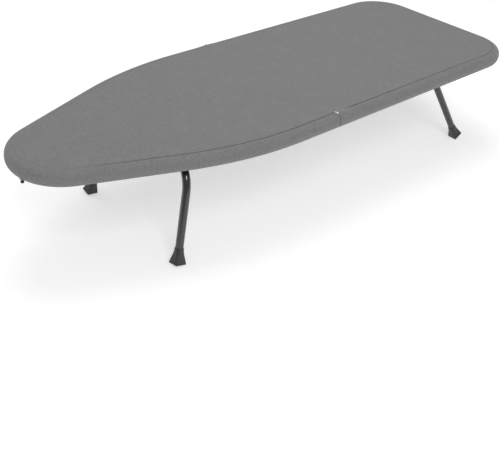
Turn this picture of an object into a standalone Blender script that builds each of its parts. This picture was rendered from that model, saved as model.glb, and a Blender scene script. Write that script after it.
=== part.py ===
"""Folding tabletop ironing board, unfolded and standing on its four feet.

Two padded half boards meet at the fold, x = 0. The nose half runs to -X, the square tail half
to +X, and the board stands on the floor z = 0. Left is the -Y side. Sizes are in metres.
"""

from math import acos, atan2, ceil, cos, pi, radians, sin, tan

import bmesh
import bpy
from mathutils import Matrix, Vector

MM = 0.001

# Overall shape of the ironing surface.
HALF_LENGTH = 400 * MM
HALF_WIDTH = 150 * MM
HEIGHT = 160 * MM
NOSE_RADIUS = 76 * MM
NOSE_TAPER = radians(21.5)
SHOULDER_RADIUS = 450 * MM
SHOULDER_SETBACK = 30 * MM
TAIL_CORNER_RADIUS = 66 * MM
SHOULDER_STEPS = 5
NOSE_STEPS = 7
CORNER_STEPS = 6

# Gap between solids that touch, play of a pin in its hole, how far a cutter runs past what it cuts, and
# the corner share that makes a rounded square all but round.
TOUCH = 0.3 * MM
PIN_PLAY = 0.2 * MM
CUT_MARGIN = 2 * MM
ROUND_SHARE = 0.999

# Cover: a skin over the top and the rim, with a gathered hem underneath.
COVER_THICKNESS = 1.2 * MM
EDGE_ROUNDING = 6 * MM
EDGE_EASE = 2 * MM
HEM_WIDTH = 12 * MM
HEM_PLAY = 1.7 * MM

# Padding, rim tube, mesh sheet and the strip that closes the mesh at the fold.
RIM_DIAMETER = 16 * MM
RIM_WALL = 1.2 * MM
RIM_SIDES = 10
RIM_TOP_DROP = 2.5 * MM
PAD_THICKNESS = 8 * MM
MESH_THICKNESS = 0.6 * MM
BAR_WIDTH = 10 * MM
BAR_THICKNESS = 2.2 * MM

# Rails under the mesh and the sleeves that slide across the fold to lock it.
RAIL_DIAMETER = 8.5 * MM
RAIL_WALL = 1 * MM
RAIL_SPACING = 62 * MM
RAIL_SIDES = 12
RAIL_END_GAP = 0.6 * MM
SLEEVE_LENGTH = 42 * MM
SLEEVE_WALL = 0.65 * MM
SLEEVE_SETBACK = 1.5 * MM

# Fold hinge: one flat plate in each end of each rim tube.
FOLD_GAP = 2.6 * MM
HINGE_EYE_RADIUS = 2.3 * MM
HINGE_PIN_RADIUS = 1 * MM
HINGE_PLATE_THICKNESS = 2.1 * MM
HINGE_PLATE_GAP = 0.4 * MM
HINGE_TONGUE_LENGTH = 19 * MM
HINGE_TONGUE_HEIGHT = 10 * MM
HINGE_HEAD_RADIUS = 1.8 * MM
HINGE_HEAD_THICKNESS = 0.5 * MM
PIVOT_ABOVE_TOP = 0.2 * MM

# U-shaped legs of round tube.
LEG_DIAMETER = 11 * MM
LEG_WALL = 1 * MM
LEG_SIDES = 12
LEG_BEND_RADIUS = 49 * MM
LEG_BEND_STEPS = 8
NOSE_LEG_LEAN = radians(16)
TAIL_LEG_LEAN = radians(29)
LEG_SPLAY = radians(9)
FOOT_SPREAD = 109 * MM
NOSE_LEG_X = -203 * MM
TAIL_LEG_X = 269 * MM
LEG_UNDER_RAIL = 0.5 * MM

# Saddles that hold the legs, their rivets and the stop pins in the legs.
SADDLE_LENGTH = 41.5 * MM
SADDLE_WIDTH = 71 * MM
SADDLE_THICKNESS = 1.5 * MM
SADDLE_PLAY = 0.35 * MM
RIVET_ALONG = 30 * MM
RIVET_HEAD_RADIUS = 4.5 * MM
RIVET_HEAD_HEIGHT = 2.6 * MM
RIVET_SHANK_RADIUS = 2 * MM
RIVET_TAIL_RADIUS = 3.2 * MM
RIVET_TAIL_HEIGHT = 1.1 * MM
STOP_PIN_RADIUS = 1.5 * MM
STOP_PIN_REACH = 8.6 * MM
STOP_PIN_ROOT_SHARE = 0.4

# Plastic feet on the ends of the legs.
FOOT_HALF = 8.5 * MM
FOOT_TOP_HALF = 6.6 * MM
FOOT_LENGTH = 22 * MM
FOOT_BASE = 5 * MM
FOOT_LAND_DEPTH = 2.4 * MM
FOOT_FLARE_STEPS = (0, 0.1, 0.25, 0.45, 0.7, 1)
FOOT_FLARE_POWER = 2
FOOT_CORNER_SHARE = 0.28

# Hanging hook of wire on a strap between the tail rails.
HOOK_WIRE_DIAMETER = 3 * MM
HOOK_SETBACK = 40 * MM
HOOK_STRAP_LENGTH = 18 * MM
HOOK_RIVET_STEP = 4 * MM
HOOK_EYE_RADIUS = 4 * MM
HOOK_STEM_REACH = 34.7 * MM
HOOK_LOOP_RADIUS = 21.5 * MM
HOOK_LOOP_CENTRE = 64.9 * MM
HOOK_NECK_EASE = 5 * MM
HOOK_LOOP_END = radians(66)
HOOK_CAP_RADIUS = 2.9 * MM
HOOK_CAP_TURN = radians(30)
HOOK_SIDES = 8
HOOK_EYE_STEPS = 12
HOOK_LOOP_STEPS = 18

# Drawcord of the cover with its cord lock, hanging from the hem under the nose.
CORD_DIAMETER = 2.5 * MM
CORD_ROUTE = [
    (-0.3700, 0.0415, 0.1408),
    (-0.3700, 0.0415, 0.1381),
    (-0.3700, 0.0415, 0.1354),
    (-0.3700, 0.0415, 0.1327),
    (-0.3700, 0.0415, 0.1300),
    (-0.3700, 0.0415, 0.1273),
    (-0.3700, 0.0415, 0.1246),
    (-0.3700, 0.0415, 0.1219),
    (-0.3700, 0.0415, 0.1192),
    (-0.3700, 0.0415, 0.1165),
    (-0.3700, 0.0415, 0.1138),
    (-0.3700, 0.0415, 0.1111),
    (-0.3700, 0.0415, 0.1084),
    (-0.3700, 0.0415, 0.1057),
    (-0.3700, 0.0415, 0.1030),
]
LOCK_LENGTH = 28 * MM
LOCK_HALF_WIDTH = 8 * MM
LOCK_HALF_DEPTH = 5 * MM
KNOT_RADIUS = 2.6 * MM

# Levels and insets that follow from the sizes above. A drop is a depth below the top.
PAD_TOP_DROP = COVER_THICKNESS + TOUCH
PAD_BOTTOM_DROP = PAD_TOP_DROP + PAD_THICKNESS
MESH_TOP_DROP = PAD_BOTTOM_DROP + TOUCH
BAR_BOTTOM_DROP = MESH_TOP_DROP + BAR_THICKNESS
RIM_INSET = COVER_THICKNESS + TOUCH + RIM_DIAMETER / 2
RIM_DROP = RIM_TOP_DROP + RIM_DIAMETER / 2
INNER_INSET = RIM_INSET + RIM_DIAMETER / 2 + TOUCH
COVER_BOTTOM_DROP = RIM_TOP_DROP + RIM_DIAMETER + HEM_PLAY + COVER_THICKNESS
SLEEVE_BORE = RAIL_DIAMETER / 2 + PIN_PLAY
SLEEVE_RADIUS = SLEEVE_BORE + SLEEVE_WALL
RAIL_DROP = BAR_BOTTOM_DROP + TOUCH + SLEEVE_RADIUS
RAIL_BOTTOM_DROP = RAIL_DROP + RAIL_DIAMETER / 2
RAIL_Y = RAIL_SPACING / 2
LEG_DROP = RAIL_BOTTOM_DROP + LEG_UNDER_RAIL + LEG_DIAMETER / 2
FLANGE_TOP_DROP = RAIL_BOTTOM_DROP + TOUCH
FLANGE_BOTTOM_DROP = FLANGE_TOP_DROP + SADDLE_THICKNESS
SADDLE_BORE = LEG_DIAMETER / 2 + SADDLE_PLAY
BAR_END_GAP = FOLD_GAP + TOUCH
HINGE_Y = HALF_WIDTH - RIM_INSET
PIVOT_Z = HEIGHT + PIVOT_ABOVE_TOP
LEG_PIVOT_Z = HEIGHT - LEG_DROP
HOOK_X = HALF_LENGTH - HOOK_SETBACK
STRAP_RIVET_X = HOOK_X - HOOK_RIVET_STEP
STRAP_X = HOOK_X - HOOK_RIVET_STEP / 2
STRAP_BOTTOM_DROP = max(FLANGE_BOTTOM_DROP, COVER_BOTTOM_DROP)
HOOK_Z = HEIGHT - STRAP_BOTTOM_DROP - TOUCH - HOOK_WIRE_DIAMETER / 2

SIDES = {"left": -1, "right": 1}
NOSE, TAIL = -1, 1
UP = Vector((0, 0, 1))


# Scene, materials and bodies


def clear_scene():
    for obj in list(bpy.data.objects):
        bpy.data.objects.remove(obj)


def make_finish(name, grey, roughness, metallic):
    """A neutral grey Principled material."""
    finish = bpy.data.materials.new(name)
    finish.use_nodes = True
    shader = finish.node_tree.nodes["Principled BSDF"]
    shader.inputs["Base Color"].default_value = (grey, grey, grey, 1)
    shader.inputs["Roughness"].default_value = roughness
    shader.inputs["Metallic"].default_value = metallic
    return finish


def make_body(name, pivot):
    """An empty on a joint's axis, to which the pieces that move with it are parented."""
    empty = bpy.data.objects.new(name, None)
    empty.location = pivot
    empty.empty_display_size = 0.02
    bpy.context.scene.collection.objects.link(empty)
    return empty


def make_object(name, bm, finish, body):
    """Turns a bmesh in world coordinates into an object that belongs to a body."""
    bmesh.ops.recalc_face_normals(bm, faces=bm.faces)
    mesh = bpy.data.meshes.new(name)
    bm.to_mesh(mesh)
    bm.free()
    mesh.transform(Matrix.Translation(-body.location))
    mesh.shade_smooth()
    mesh.set_sharp_from_angle(angle=radians(40))
    mesh.materials.append(finish)
    obj = bpy.data.objects.new(name, mesh)
    obj.parent = body
    bpy.context.scene.collection.objects.link(obj)
    return obj


def cut(obj, bm, name, body):
    """Cuts the closed shape in bm from obj with a Boolean modifier."""
    cutter = make_object(name, bm, obj.data.materials[0], body)
    cutter.hide_render = True
    cutter.display_type = "WIRE"
    modifier = obj.modifiers.new(name, "BOOLEAN")
    modifier.object = cutter
    modifier.operation = "DIFFERENCE"


# Shapes


def loft(rings, looped=False):
    """Skins rings of equal length. A looped loft joins last to first, else the ends are capped."""
    bm = bmesh.new()
    rows = [[bm.verts.new(point) for point in ring] for ring in rings]
    pairs = list(zip(rows, rows[1:]))
    if looped:
        pairs.append((rows[-1], rows[0]))
    else:
        bm.faces.new(rows[0])
        bm.faces.new(rows[-1])
    for low, high in pairs:
        for i in range(len(low)):
            j = (i + 1) % len(low)
            bm.faces.new((low[i], low[j], high[j], high[i]))
    return bm


def circle(centre, across, along, radius, sides):
    """Points of a circle that starts half a step away from the direction across."""
    turns = [2 * pi * (i + 0.5) / sides for i in range(sides)]
    return [centre + radius * (cos(t) * across + sin(t) * along) for t in turns]


def cylinder(start, end, radius, sides=12):
    axis = (end - start).normalized()
    across = axis.orthogonal().normalized()
    along = axis.cross(across)
    return loft([circle(point, across, along, radius, sides) for point in (start, end)])


def turned(foot, axis, profile, sides=12):
    """A solid turned about an axis. The profile holds (distance along the axis, radius) pairs."""
    across = axis.orthogonal().normalized()
    along = axis.cross(across)
    return loft([circle(foot + axis * reach, across, along, radius, sides) for reach, radius in profile])


def path_rings(points, normal, radius, sides):
    """Circles square to a plane path; normal is the direction square to the path's plane."""
    rings = []
    for i, point in enumerate(points):
        before = points[max(i - 1, 0)]
        after = points[min(i + 1, len(points) - 1)]
        first = (point - before).normalized()
        last = (after - point).normalized()
        tangent = (first + last).normalized()
        rings.append(circle(point, tangent.cross(normal), normal, radius, sides))
    return rings


def rod(points, normal, radius, sides):
    return loft(path_rings(points, normal, radius, sides))


def tube(points, normal, radius, wall, sides):
    """A hollow tube with open ends."""
    outside = path_rings(points, normal, radius, sides)
    inside = path_rings(points, normal, radius - wall, sides)
    return loft(outside + inside[::-1], looped=True)


def prism(polygon, start, end):
    """A polygon of (x, z) points carried along Y."""
    return loft([[Vector((x, y, z)) for x, z in polygon] for y in (start, end)])


def arc(centre, radius, start, end, steps):
    """Points (u, v) of an arc about centre, angles counted from u towards v."""
    turns = [start + (end - start) * i / steps for i in range(steps + 1)]
    return [(centre[0] + radius * cos(t), centre[1] + radius * sin(t)) for t in turns]


# Outline of the board


def right_edge(half, inset):
    """The outline's +Y side from the fold to the end, moved inwards by inset.

    The shoulder's fillet is limited so that it ends a little before the fold.
    """
    if half == TAIL:
        centre = (HALF_LENGTH - TAIL_CORNER_RADIUS, HALF_WIDTH - TAIL_CORNER_RADIUS)
        return arc(centre, TAIL_CORNER_RADIUS - inset, pi / 2, 0, CORNER_STEPS)
    nose = (NOSE_RADIUS - HALF_LENGTH, 0)
    taper = pi / 2 + NOSE_TAPER
    room = (-SHOULDER_SETBACK - nose[0]) * sin(NOSE_TAPER) + NOSE_RADIUS - HALF_WIDTH * cos(NOSE_TAPER)
    radius = min(SHOULDER_RADIUS, room / (1 - cos(NOSE_TAPER)))
    across = (HALF_WIDTH - radius) * cos(NOSE_TAPER) + radius - NOSE_RADIUS
    shoulder = (nose[0] + across / sin(NOSE_TAPER), HALF_WIDTH - radius)
    bend = arc(shoulder, radius - inset, pi / 2, taper, SHOULDER_STEPS)
    return bend + arc(nose, NOSE_RADIUS - inset, taper, pi, NOSE_STEPS)


def outline(half, inset, fold_gap):
    """The half board's outline (x, y) from the left end of the fold round to its right end."""
    edge = [(half * fold_gap, HALF_WIDTH - inset)] + right_edge(half, inset)
    if half == NOSE:
        edge.pop()
        edge.append((inset - HALF_LENGTH, 0))
    left = [(x, -y) for x, y in edge if y > 0]
    return left + edge[::-1]


def level(half, inset, fold_gap, drop):
    """The outline as points at a depth below the top."""
    return [Vector((x, y, HEIGHT - drop)) for x, y in outline(half, inset, fold_gap)]


def slab_inside_rim(half, fold_gap, top_drop, bottom_drop):
    """A flat sheet whose edge just clears the rim tube at the sheet's own level."""
    radius = RIM_DIAMETER / 2
    off_centre = max(top_drop - RIM_DROP, RIM_DROP - bottom_drop, 0)
    inset = RIM_INSET + max(radius**2 - off_centre**2, 0) ** 0.5 + TOUCH
    return loft([level(half, inset, fold_gap, drop) for drop in (top_drop, bottom_drop)])


# Half boards


def make_cover(name, half, finish, body):
    """A skin folded over the rim: its section runs round the outside, back along the inside."""
    thick = COVER_THICKNESS
    low = COVER_BOTTOM_DROP
    outside = [
        (EDGE_ROUNDING, 0),
        (EDGE_EASE, EDGE_EASE / 2),
        (0, EDGE_ROUNDING),
        (0, low - EDGE_ROUNDING),
        (EDGE_EASE, low - EDGE_EASE / 2),
        (EDGE_ROUNDING, low),
        (HEM_WIDTH, low),
    ]
    inside = [
        (HEM_WIDTH, low - thick),
        (EDGE_ROUNDING + thick / 2, low - thick),
        (EDGE_EASE + thick * 0.8, low - thick - EDGE_EASE / 2),
        (thick, low - EDGE_ROUNDING),
        (thick, EDGE_ROUNDING),
        (EDGE_EASE + thick * 0.8, EDGE_EASE / 2 + thick),
        (EDGE_ROUNDING + thick / 2, thick),
    ]
    bm = bmesh.new()
    rows = []
    for inset, drop in outside + inside:
        rows.append([bm.verts.new(point) for point in level(half, inset, FOLD_GAP, drop)])
    for low_row, high_row in zip(rows, rows[1:]):
        for i in range(len(low_row) - 1):
            bm.faces.new((low_row[i], low_row[i + 1], high_row[i + 1], high_row[i]))
    bm.faces.new(rows[0])
    bm.faces.new(rows[-1])
    bm.faces.new([row[0] for row in rows] + [row[-1] for row in reversed(rows)])
    make_object(name, bm, finish, body)


def make_rim(name, half, finish, body):
    """A hollow round tube bent to the outline, open at the fold."""
    sections = []
    for radius in (RIM_DIAMETER / 2, RIM_DIAMETER / 2 - RIM_WALL):
        section = arc((RIM_INSET, RIM_DROP), radius, 0, 2 * pi, RIM_SIDES)[:-1]
        sections.append([level(half, inset, FOLD_GAP + TOUCH, drop) for inset, drop in section])
    outer, inner = sections
    stations = range(len(outer[0]))
    outside = [[row[i] for row in outer] for i in stations]
    inside = [[row[i] for row in inner] for i in stations]
    make_object(name, loft(outside + inside[::-1], looped=True), finish, body)


def rail_reach(half):
    """How far a rail runs from the fold before it meets the rim tube."""
    inset = INNER_INSET
    if half == TAIL:
        return HALF_LENGTH - inset
    radius = NOSE_RADIUS - inset
    outer_y = RAIL_Y + RAIL_DIAMETER / 2
    return HALF_LENGTH - NOSE_RADIUS + (radius**2 - outer_y**2) ** 0.5


def make_half_board(prefix, half, finishes, body):
    """Everything of a half board that both halves have, apart from hinge, saddle and rivets."""
    bar_start = BAR_END_GAP
    bar_end = bar_start + BAR_WIDTH
    make_cover(prefix + "_cover", half, finishes["fabric"], body)
    pad = slab_inside_rim(half, RAIL_END_GAP, PAD_TOP_DROP, PAD_BOTTOM_DROP)
    make_object(prefix + "_pad", pad, finishes["felt"], body)
    make_rim(prefix + "_rim", half, finishes["black steel"], body)
    mesh_bottom = MESH_TOP_DROP + MESH_THICKNESS
    sheet = slab_inside_rim(half, bar_end + TOUCH, MESH_TOP_DROP, mesh_bottom)
    make_object(prefix + "_mesh", sheet, finishes["black steel"], body)
    top = HEIGHT - MESH_TOP_DROP
    low = HEIGHT - BAR_BOTTOM_DROP
    corners = ((bar_start, low), (bar_end, low), (bar_end, top), (bar_start, top))
    section = [(half * x, z) for x, z in corners]
    reach = HALF_WIDTH - INNER_INSET
    make_object(prefix + "_end_bar", prism(section, -reach, reach), finishes["black steel"], body)
    for side, sign in SIDES.items():
        start = Vector((half * RAIL_END_GAP, sign * RAIL_Y, HEIGHT - RAIL_DROP))
        end = Vector((half * rail_reach(half), sign * RAIL_Y, HEIGHT - RAIL_DROP))
        rail = tube([start, end], UP, RAIL_DIAMETER / 2, RAIL_WALL, RAIL_SIDES)
        make_object(f"{prefix}_rail_{side}", rail, finishes["black steel"], body)


# Fold hinge and its locking sleeves


def make_hinge(side, sign, finishes, bodies):
    """Two flat plates side by side on one riveted pin, tongues inside the rim tubes."""
    tongue_top = HEIGHT - RIM_DROP + HINGE_TONGUE_HEIGHT / 2
    tongue_low = HEIGHT - RIM_DROP - HINGE_TONGUE_HEIGHT / 2
    eye = HINGE_EYE_RADIUS
    reach = FOLD_GAP + HINGE_TONGUE_LENGTH
    near = HINGE_PLATE_GAP / 2
    far = near + HINGE_PLATE_THICKNESS
    centre_y = sign * HINGE_Y
    spans = {NOSE: (-far, -near), TAIL: (near, far)}
    for half, prefix in ((NOSE, "nose"), (TAIL, "tail")):
        round_top = arc((0, PIVOT_Z), eye, pi if half == NOSE else 0, 0 if half == NOSE else pi, 8)
        polygon = [(half * reach, tongue_low), (half * reach, tongue_top), (half * eye, tongue_top)]
        polygon += round_top
        polygon.append((-half * eye, tongue_low))
        start, end = spans[half]
        plate = prism(polygon, centre_y + start, centre_y + end)
        body = bodies[prefix + "_half"]
        obj = make_object(f"{prefix}_hinge_plate_{side}", plate, finishes["zinc"], body)
        hole_start = Vector((0, centre_y - 2 * far, PIVOT_Z))
        hole_end = Vector((0, centre_y + 2 * far, PIVOT_Z))
        hole = cylinder(hole_start, hole_end, HINGE_PIN_RADIUS + PIN_PLAY, 16)
        cut(obj, hole, f"{prefix}_hinge_hole_{side}", body)
    grip = far + TOUCH
    head = grip + HINGE_HEAD_THICKNESS
    profile = [
        (-head, HINGE_HEAD_RADIUS),
        (-grip, HINGE_HEAD_RADIUS),
        (-grip, HINGE_PIN_RADIUS),
        (grip, HINGE_PIN_RADIUS),
        (grip, HINGE_HEAD_RADIUS),
        (head, HINGE_HEAD_RADIUS),
    ]
    pin = turned(Vector((0, centre_y, PIVOT_Z)), Vector((0, 1, 0)), profile)
    make_object(f"hinge_pin_{side}", pin, finishes["zinc"], bodies["nose_half"])


def make_lock_sleeve(side, sign, finishes, bodies):
    """A sleeve on the nose rail, drawn back from the fold."""
    z = HEIGHT - RAIL_DROP
    start = Vector((-SLEEVE_SETBACK - SLEEVE_LENGTH, sign * RAIL_Y, z))
    end = Vector((-SLEEVE_SETBACK, sign * RAIL_Y, z))
    sleeve = tube([start, end], UP, SLEEVE_RADIUS, SLEEVE_WALL, RAIL_SIDES)
    make_object(f"lock_sleeve_{side}", sleeve, finishes["grey plastic"], bodies[f"sleeve_{side}"])


# Saddles, rivets and legs


def make_rivet(name, x, y, under_drop, finish, body):
    """A dome-headed rivet through a plate, whose underside is at under_drop, and the rail above it."""
    head = under_drop + TOUCH
    tail = RAIL_DROP - RAIL_DIAMETER / 2 - TOUCH
    profile = [
        (-RIVET_HEAD_HEIGHT, RIVET_HEAD_RADIUS * 0.35),
        (-RIVET_HEAD_HEIGHT * 0.8, RIVET_HEAD_RADIUS * 0.72),
        (-RIVET_HEAD_HEIGHT * 0.35, RIVET_HEAD_RADIUS),
        (0, RIVET_HEAD_RADIUS),
        (0, RIVET_SHANK_RADIUS),
        (head - tail, RIVET_SHANK_RADIUS),
        (head - tail, RIVET_TAIL_RADIUS),
        (head - tail + RIVET_TAIL_HEIGHT, RIVET_TAIL_RADIUS),
    ]
    make_object(name, turned(Vector((x, y, HEIGHT - head)), UP, profile), finish, body)


def cut_rivet_hole(obj, name, x, y, body):
    low = Vector((x, y, HEIGHT - STRAP_BOTTOM_DROP - CUT_MARGIN))
    high = Vector((x, y, HEIGHT - MESH_TOP_DROP))
    cut(obj, cylinder(low, high, RIVET_SHANK_RADIUS + TOUCH, 16), name, body)


def make_saddle(prefix, pivot_x, lean, finishes, body):
    """A hat-shaped plate riveted under both rails; the leg's cross tube turns in its arch."""
    bore = SADDLE_BORE
    outer = bore + SADDLE_THICKNESS
    top = HEIGHT - FLANGE_TOP_DROP
    low = HEIGHT - FLANGE_BOTTOM_DROP
    end = SADDLE_LENGTH / 2
    centre = (0, LEG_PIVOT_Z)
    section = [(-end, low), (-end, top), (-bore, top)]
    section += arc(centre, bore, pi, 2 * pi, 10)
    section += [(bore, top), (end, top), (end, low), (outer, low)]
    section += arc(centre, outer, 2 * pi, pi, 10)
    section.append((-outer, low))
    placed = [(pivot_x + x, z) for x, z in section]
    saddle = make_object(
        prefix + "_saddle",
        prism(placed, -SADDLE_WIDTH / 2, SADDLE_WIDTH / 2),
        finishes["black steel"],
        body,
    )
    half_turn = stop_turn(lean) / 2 + (STOP_PIN_RADIUS + TOUCH) / bore
    centre = (pivot_x, LEG_PIVOT_Z)
    start = 1.5 * pi - half_turn
    end = 1.5 * pi + half_turn
    sector = arc(centre, bore - CUT_MARGIN, start, end, 12)
    sector += arc(centre, outer + CUT_MARGIN, end, start, 12)
    half_slot = STOP_PIN_RADIUS + TOUCH
    cut(saddle, prism(sector, -half_slot, half_slot), prefix + "_stop_slot", body)
    for side, sign in SIDES.items():
        rail = bpy.data.objects[f"{prefix}_rail_{side}"]
        for place, along in (("outer", -1), ("inner", 1)):
            x = pivot_x + along * RIVET_ALONG / 2
            name = f"{prefix}_rivet_{side}_{place}"
            make_rivet(name, x, sign * RAIL_Y, FLANGE_BOTTOM_DROP, finishes["zinc"], body)
            cut_rivet_hole(saddle, name + "_saddle_hole", x, sign * RAIL_Y, body)
            cut_rivet_hole(rail, name + "_rail_hole", x, sign * RAIL_Y, body)


def stop_turn(lean):
    """A leg's whole travel, from its stance to lying along the rails."""
    return pi / 2 + lean


def leg_frame(half, lean):
    """Directions of a leg's plane: down along the leg, and square to the plane."""
    down = Vector((half * sin(lean), 0, -cos(lean)))
    across = Vector((cos(lean), 0, half * sin(lean)))
    return down, across


def make_leg(prefix, half, pivot_x, lean, finishes, body):
    """A U of tube with a plastic foot on each end and a stop pin in the middle."""
    pivot = Vector((pivot_x, 0, LEG_PIVOT_Z))
    down, across = leg_frame(half, lean)
    bend = LEG_BEND_RADIUS
    turn = pi / 2 - LEG_SPLAY
    plane_length = LEG_PIVOT_Z / cos(lean)
    bend_reach = bend * sin(turn)
    bend_depth = bend * (1 - cos(turn))
    straight_y = FOOT_SPREAD - bend_reach - (plane_length - bend_depth) * tan(LEG_SPLAY)
    side_axis = Vector((0, 1, 0))
    run = down * cos(LEG_SPLAY) + side_axis * sin(LEG_SPLAY)
    side_slope = run.cross(across).normalized()
    sole_rise = FOOT_HALF * (abs(across.z) + abs(side_slope.z)) - FOOT_LAND_DEPTH
    bend_end = pivot + side_axis * (straight_y + bend_reach) + down * bend_depth
    leg_run = (bend_end.z - sole_rise) / -run.z
    sole = bend_end + run * leg_run
    tube_end = sole - run * FOOT_BASE
    right = [pivot + side_axis * straight_y]
    for i in range(1, LEG_BEND_STEPS + 1):
        t = turn * i / LEG_BEND_STEPS
        right.append(pivot + side_axis * (straight_y + bend * sin(t)) + down * bend * (1 - cos(t)))
    right.append(tube_end)
    mirror = Matrix.Diagonal((1, -1, 1))
    path = [mirror @ point for point in reversed(right)] + right
    leg_tube = tube(path, across, LEG_DIAMETER / 2, LEG_WALL, LEG_SIDES)
    leg = make_object(prefix + "_leg", leg_tube, finishes["black steel"], body)
    for side, sign in SIDES.items():
        name = f"{prefix}_foot_{side}"
        if sign > 0:
            make_foot(name, sole, run, across, side_slope, finishes["black plastic"], body)
        else:
            flipped = [mirror @ vector for vector in (sole, run, across, side_slope)]
            make_foot(name, *flipped, finishes["black plastic"], body)
    stop_start = 1.5 * pi + half * stop_turn(lean) / 2
    aim = Vector((cos(stop_start), 0, sin(stop_start)))
    inner = LEG_DIAMETER / 2 - LEG_WALL
    pin_start = pivot + aim * inner * STOP_PIN_ROOT_SHARE
    pin_end = pivot + aim * STOP_PIN_REACH
    pin = cylinder(pin_start, pin_end, STOP_PIN_RADIUS)
    make_object(prefix + "_stop_pin", pin, finishes["zinc"], body)
    hole_start = pin_start - aim * CUT_MARGIN
    hole = cylinder(hole_start, pin_end, STOP_PIN_RADIUS + TOUCH)
    cut(leg, hole, prefix + "_stop_pin_hole", body)


def rounded_square(centre, across, along, half, corner):
    """Sixteen points of a square with rounded corners, starting half a step off across."""
    points = []
    flat = half - corner
    for quarter in range(4):
        turn = quarter * pi / 2
        first = cos(turn) * across + sin(turn) * along
        second = -sin(turn) * across + cos(turn) * along
        for step in (0, 1, 2, 3):
            t = pi / 2 * step / 3
            points.append(centre + first * (flat + corner * cos(t)) + second * (flat + corner * sin(t)))
    return points


def make_foot(name, sole, run, across, side_slope, finish, body):
    """A square cap that flares towards its sole, with a socket for the tube and a worn flat land."""
    rings = []
    for share in FOOT_FLARE_STEPS:
        half = FOOT_TOP_HALF + (FOOT_HALF - FOOT_TOP_HALF) * (1 - share) ** FOOT_FLARE_POWER
        place = sole - run * FOOT_LENGTH * share
        rings.append(rounded_square(place, across, side_slope, half, half * FOOT_CORNER_SHARE))
    top = sole - run * FOOT_LENGTH
    socket = LEG_DIAMETER / 2 + TOUCH
    for place in (top, sole - run * (FOOT_BASE - TOUCH)):
        rings.append(rounded_square(place, across, side_slope, socket, socket * ROUND_SHARE))
    bm = loft(rings)
    everything = list(bm.verts) + list(bm.edges) + list(bm.faces)
    floor = {"plane_co": (0, 0, 0), "plane_no": (0, 0, -1)}
    made = bmesh.ops.bisect_plane(bm, geom=everything, clear_outer=True, **floor)
    rim = [item for item in made["geom_cut"] if isinstance(item, bmesh.types.BMEdge)]
    bmesh.ops.edgeloop_fill(bm, edges=rim)
    make_object(name, bm, finish, body)


# Hanging hook


def rounded_corner(before, corner, after, reach, steps):
    """A quadratic curve that cuts the corner, starting and ending reach away from it."""
    start = corner + (before - corner).normalized() * reach
    end = corner + (after - corner).normalized() * reach
    shares = [i / steps for i in range(steps + 1)]
    return [start * (1 - t) ** 2 + corner * 2 * t * (1 - t) + end * t * t for t in shares]


def hook_path():
    """The wire's path as (reach, side): an eye round the rivet, a stem, a neck and a round loop."""
    eye = arc((0, 0), HOOK_EYE_RADIUS, radians(350), pi / 2, HOOK_EYE_STEPS)
    stem_end = Vector((HOOK_SETBACK + HOOK_STEM_REACH, HOOK_EYE_RADIUS / 2))
    centre = Vector((HOOK_SETBACK + HOOK_LOOP_CENTRE, HOOK_EYE_RADIUS / 2))
    back = stem_end - centre
    start = atan2(back.y, back.x) - acos(HOOK_LOOP_RADIUS / back.length)
    loop = arc(centre, HOOK_LOOP_RADIUS, start, -HOOK_LOOP_END, HOOK_LOOP_STEPS)
    neck = rounded_corner(Vector(eye[-1]), stem_end, Vector(loop[0]), HOOK_NECK_EASE, 4)
    return eye + neck + loop, centre


def hook_point(reach, side):
    """At rest the hook lies under the tail, so reach runs along +Y and side along +X."""
    return Vector((HOOK_X + side, reach, HOOK_Z))


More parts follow.
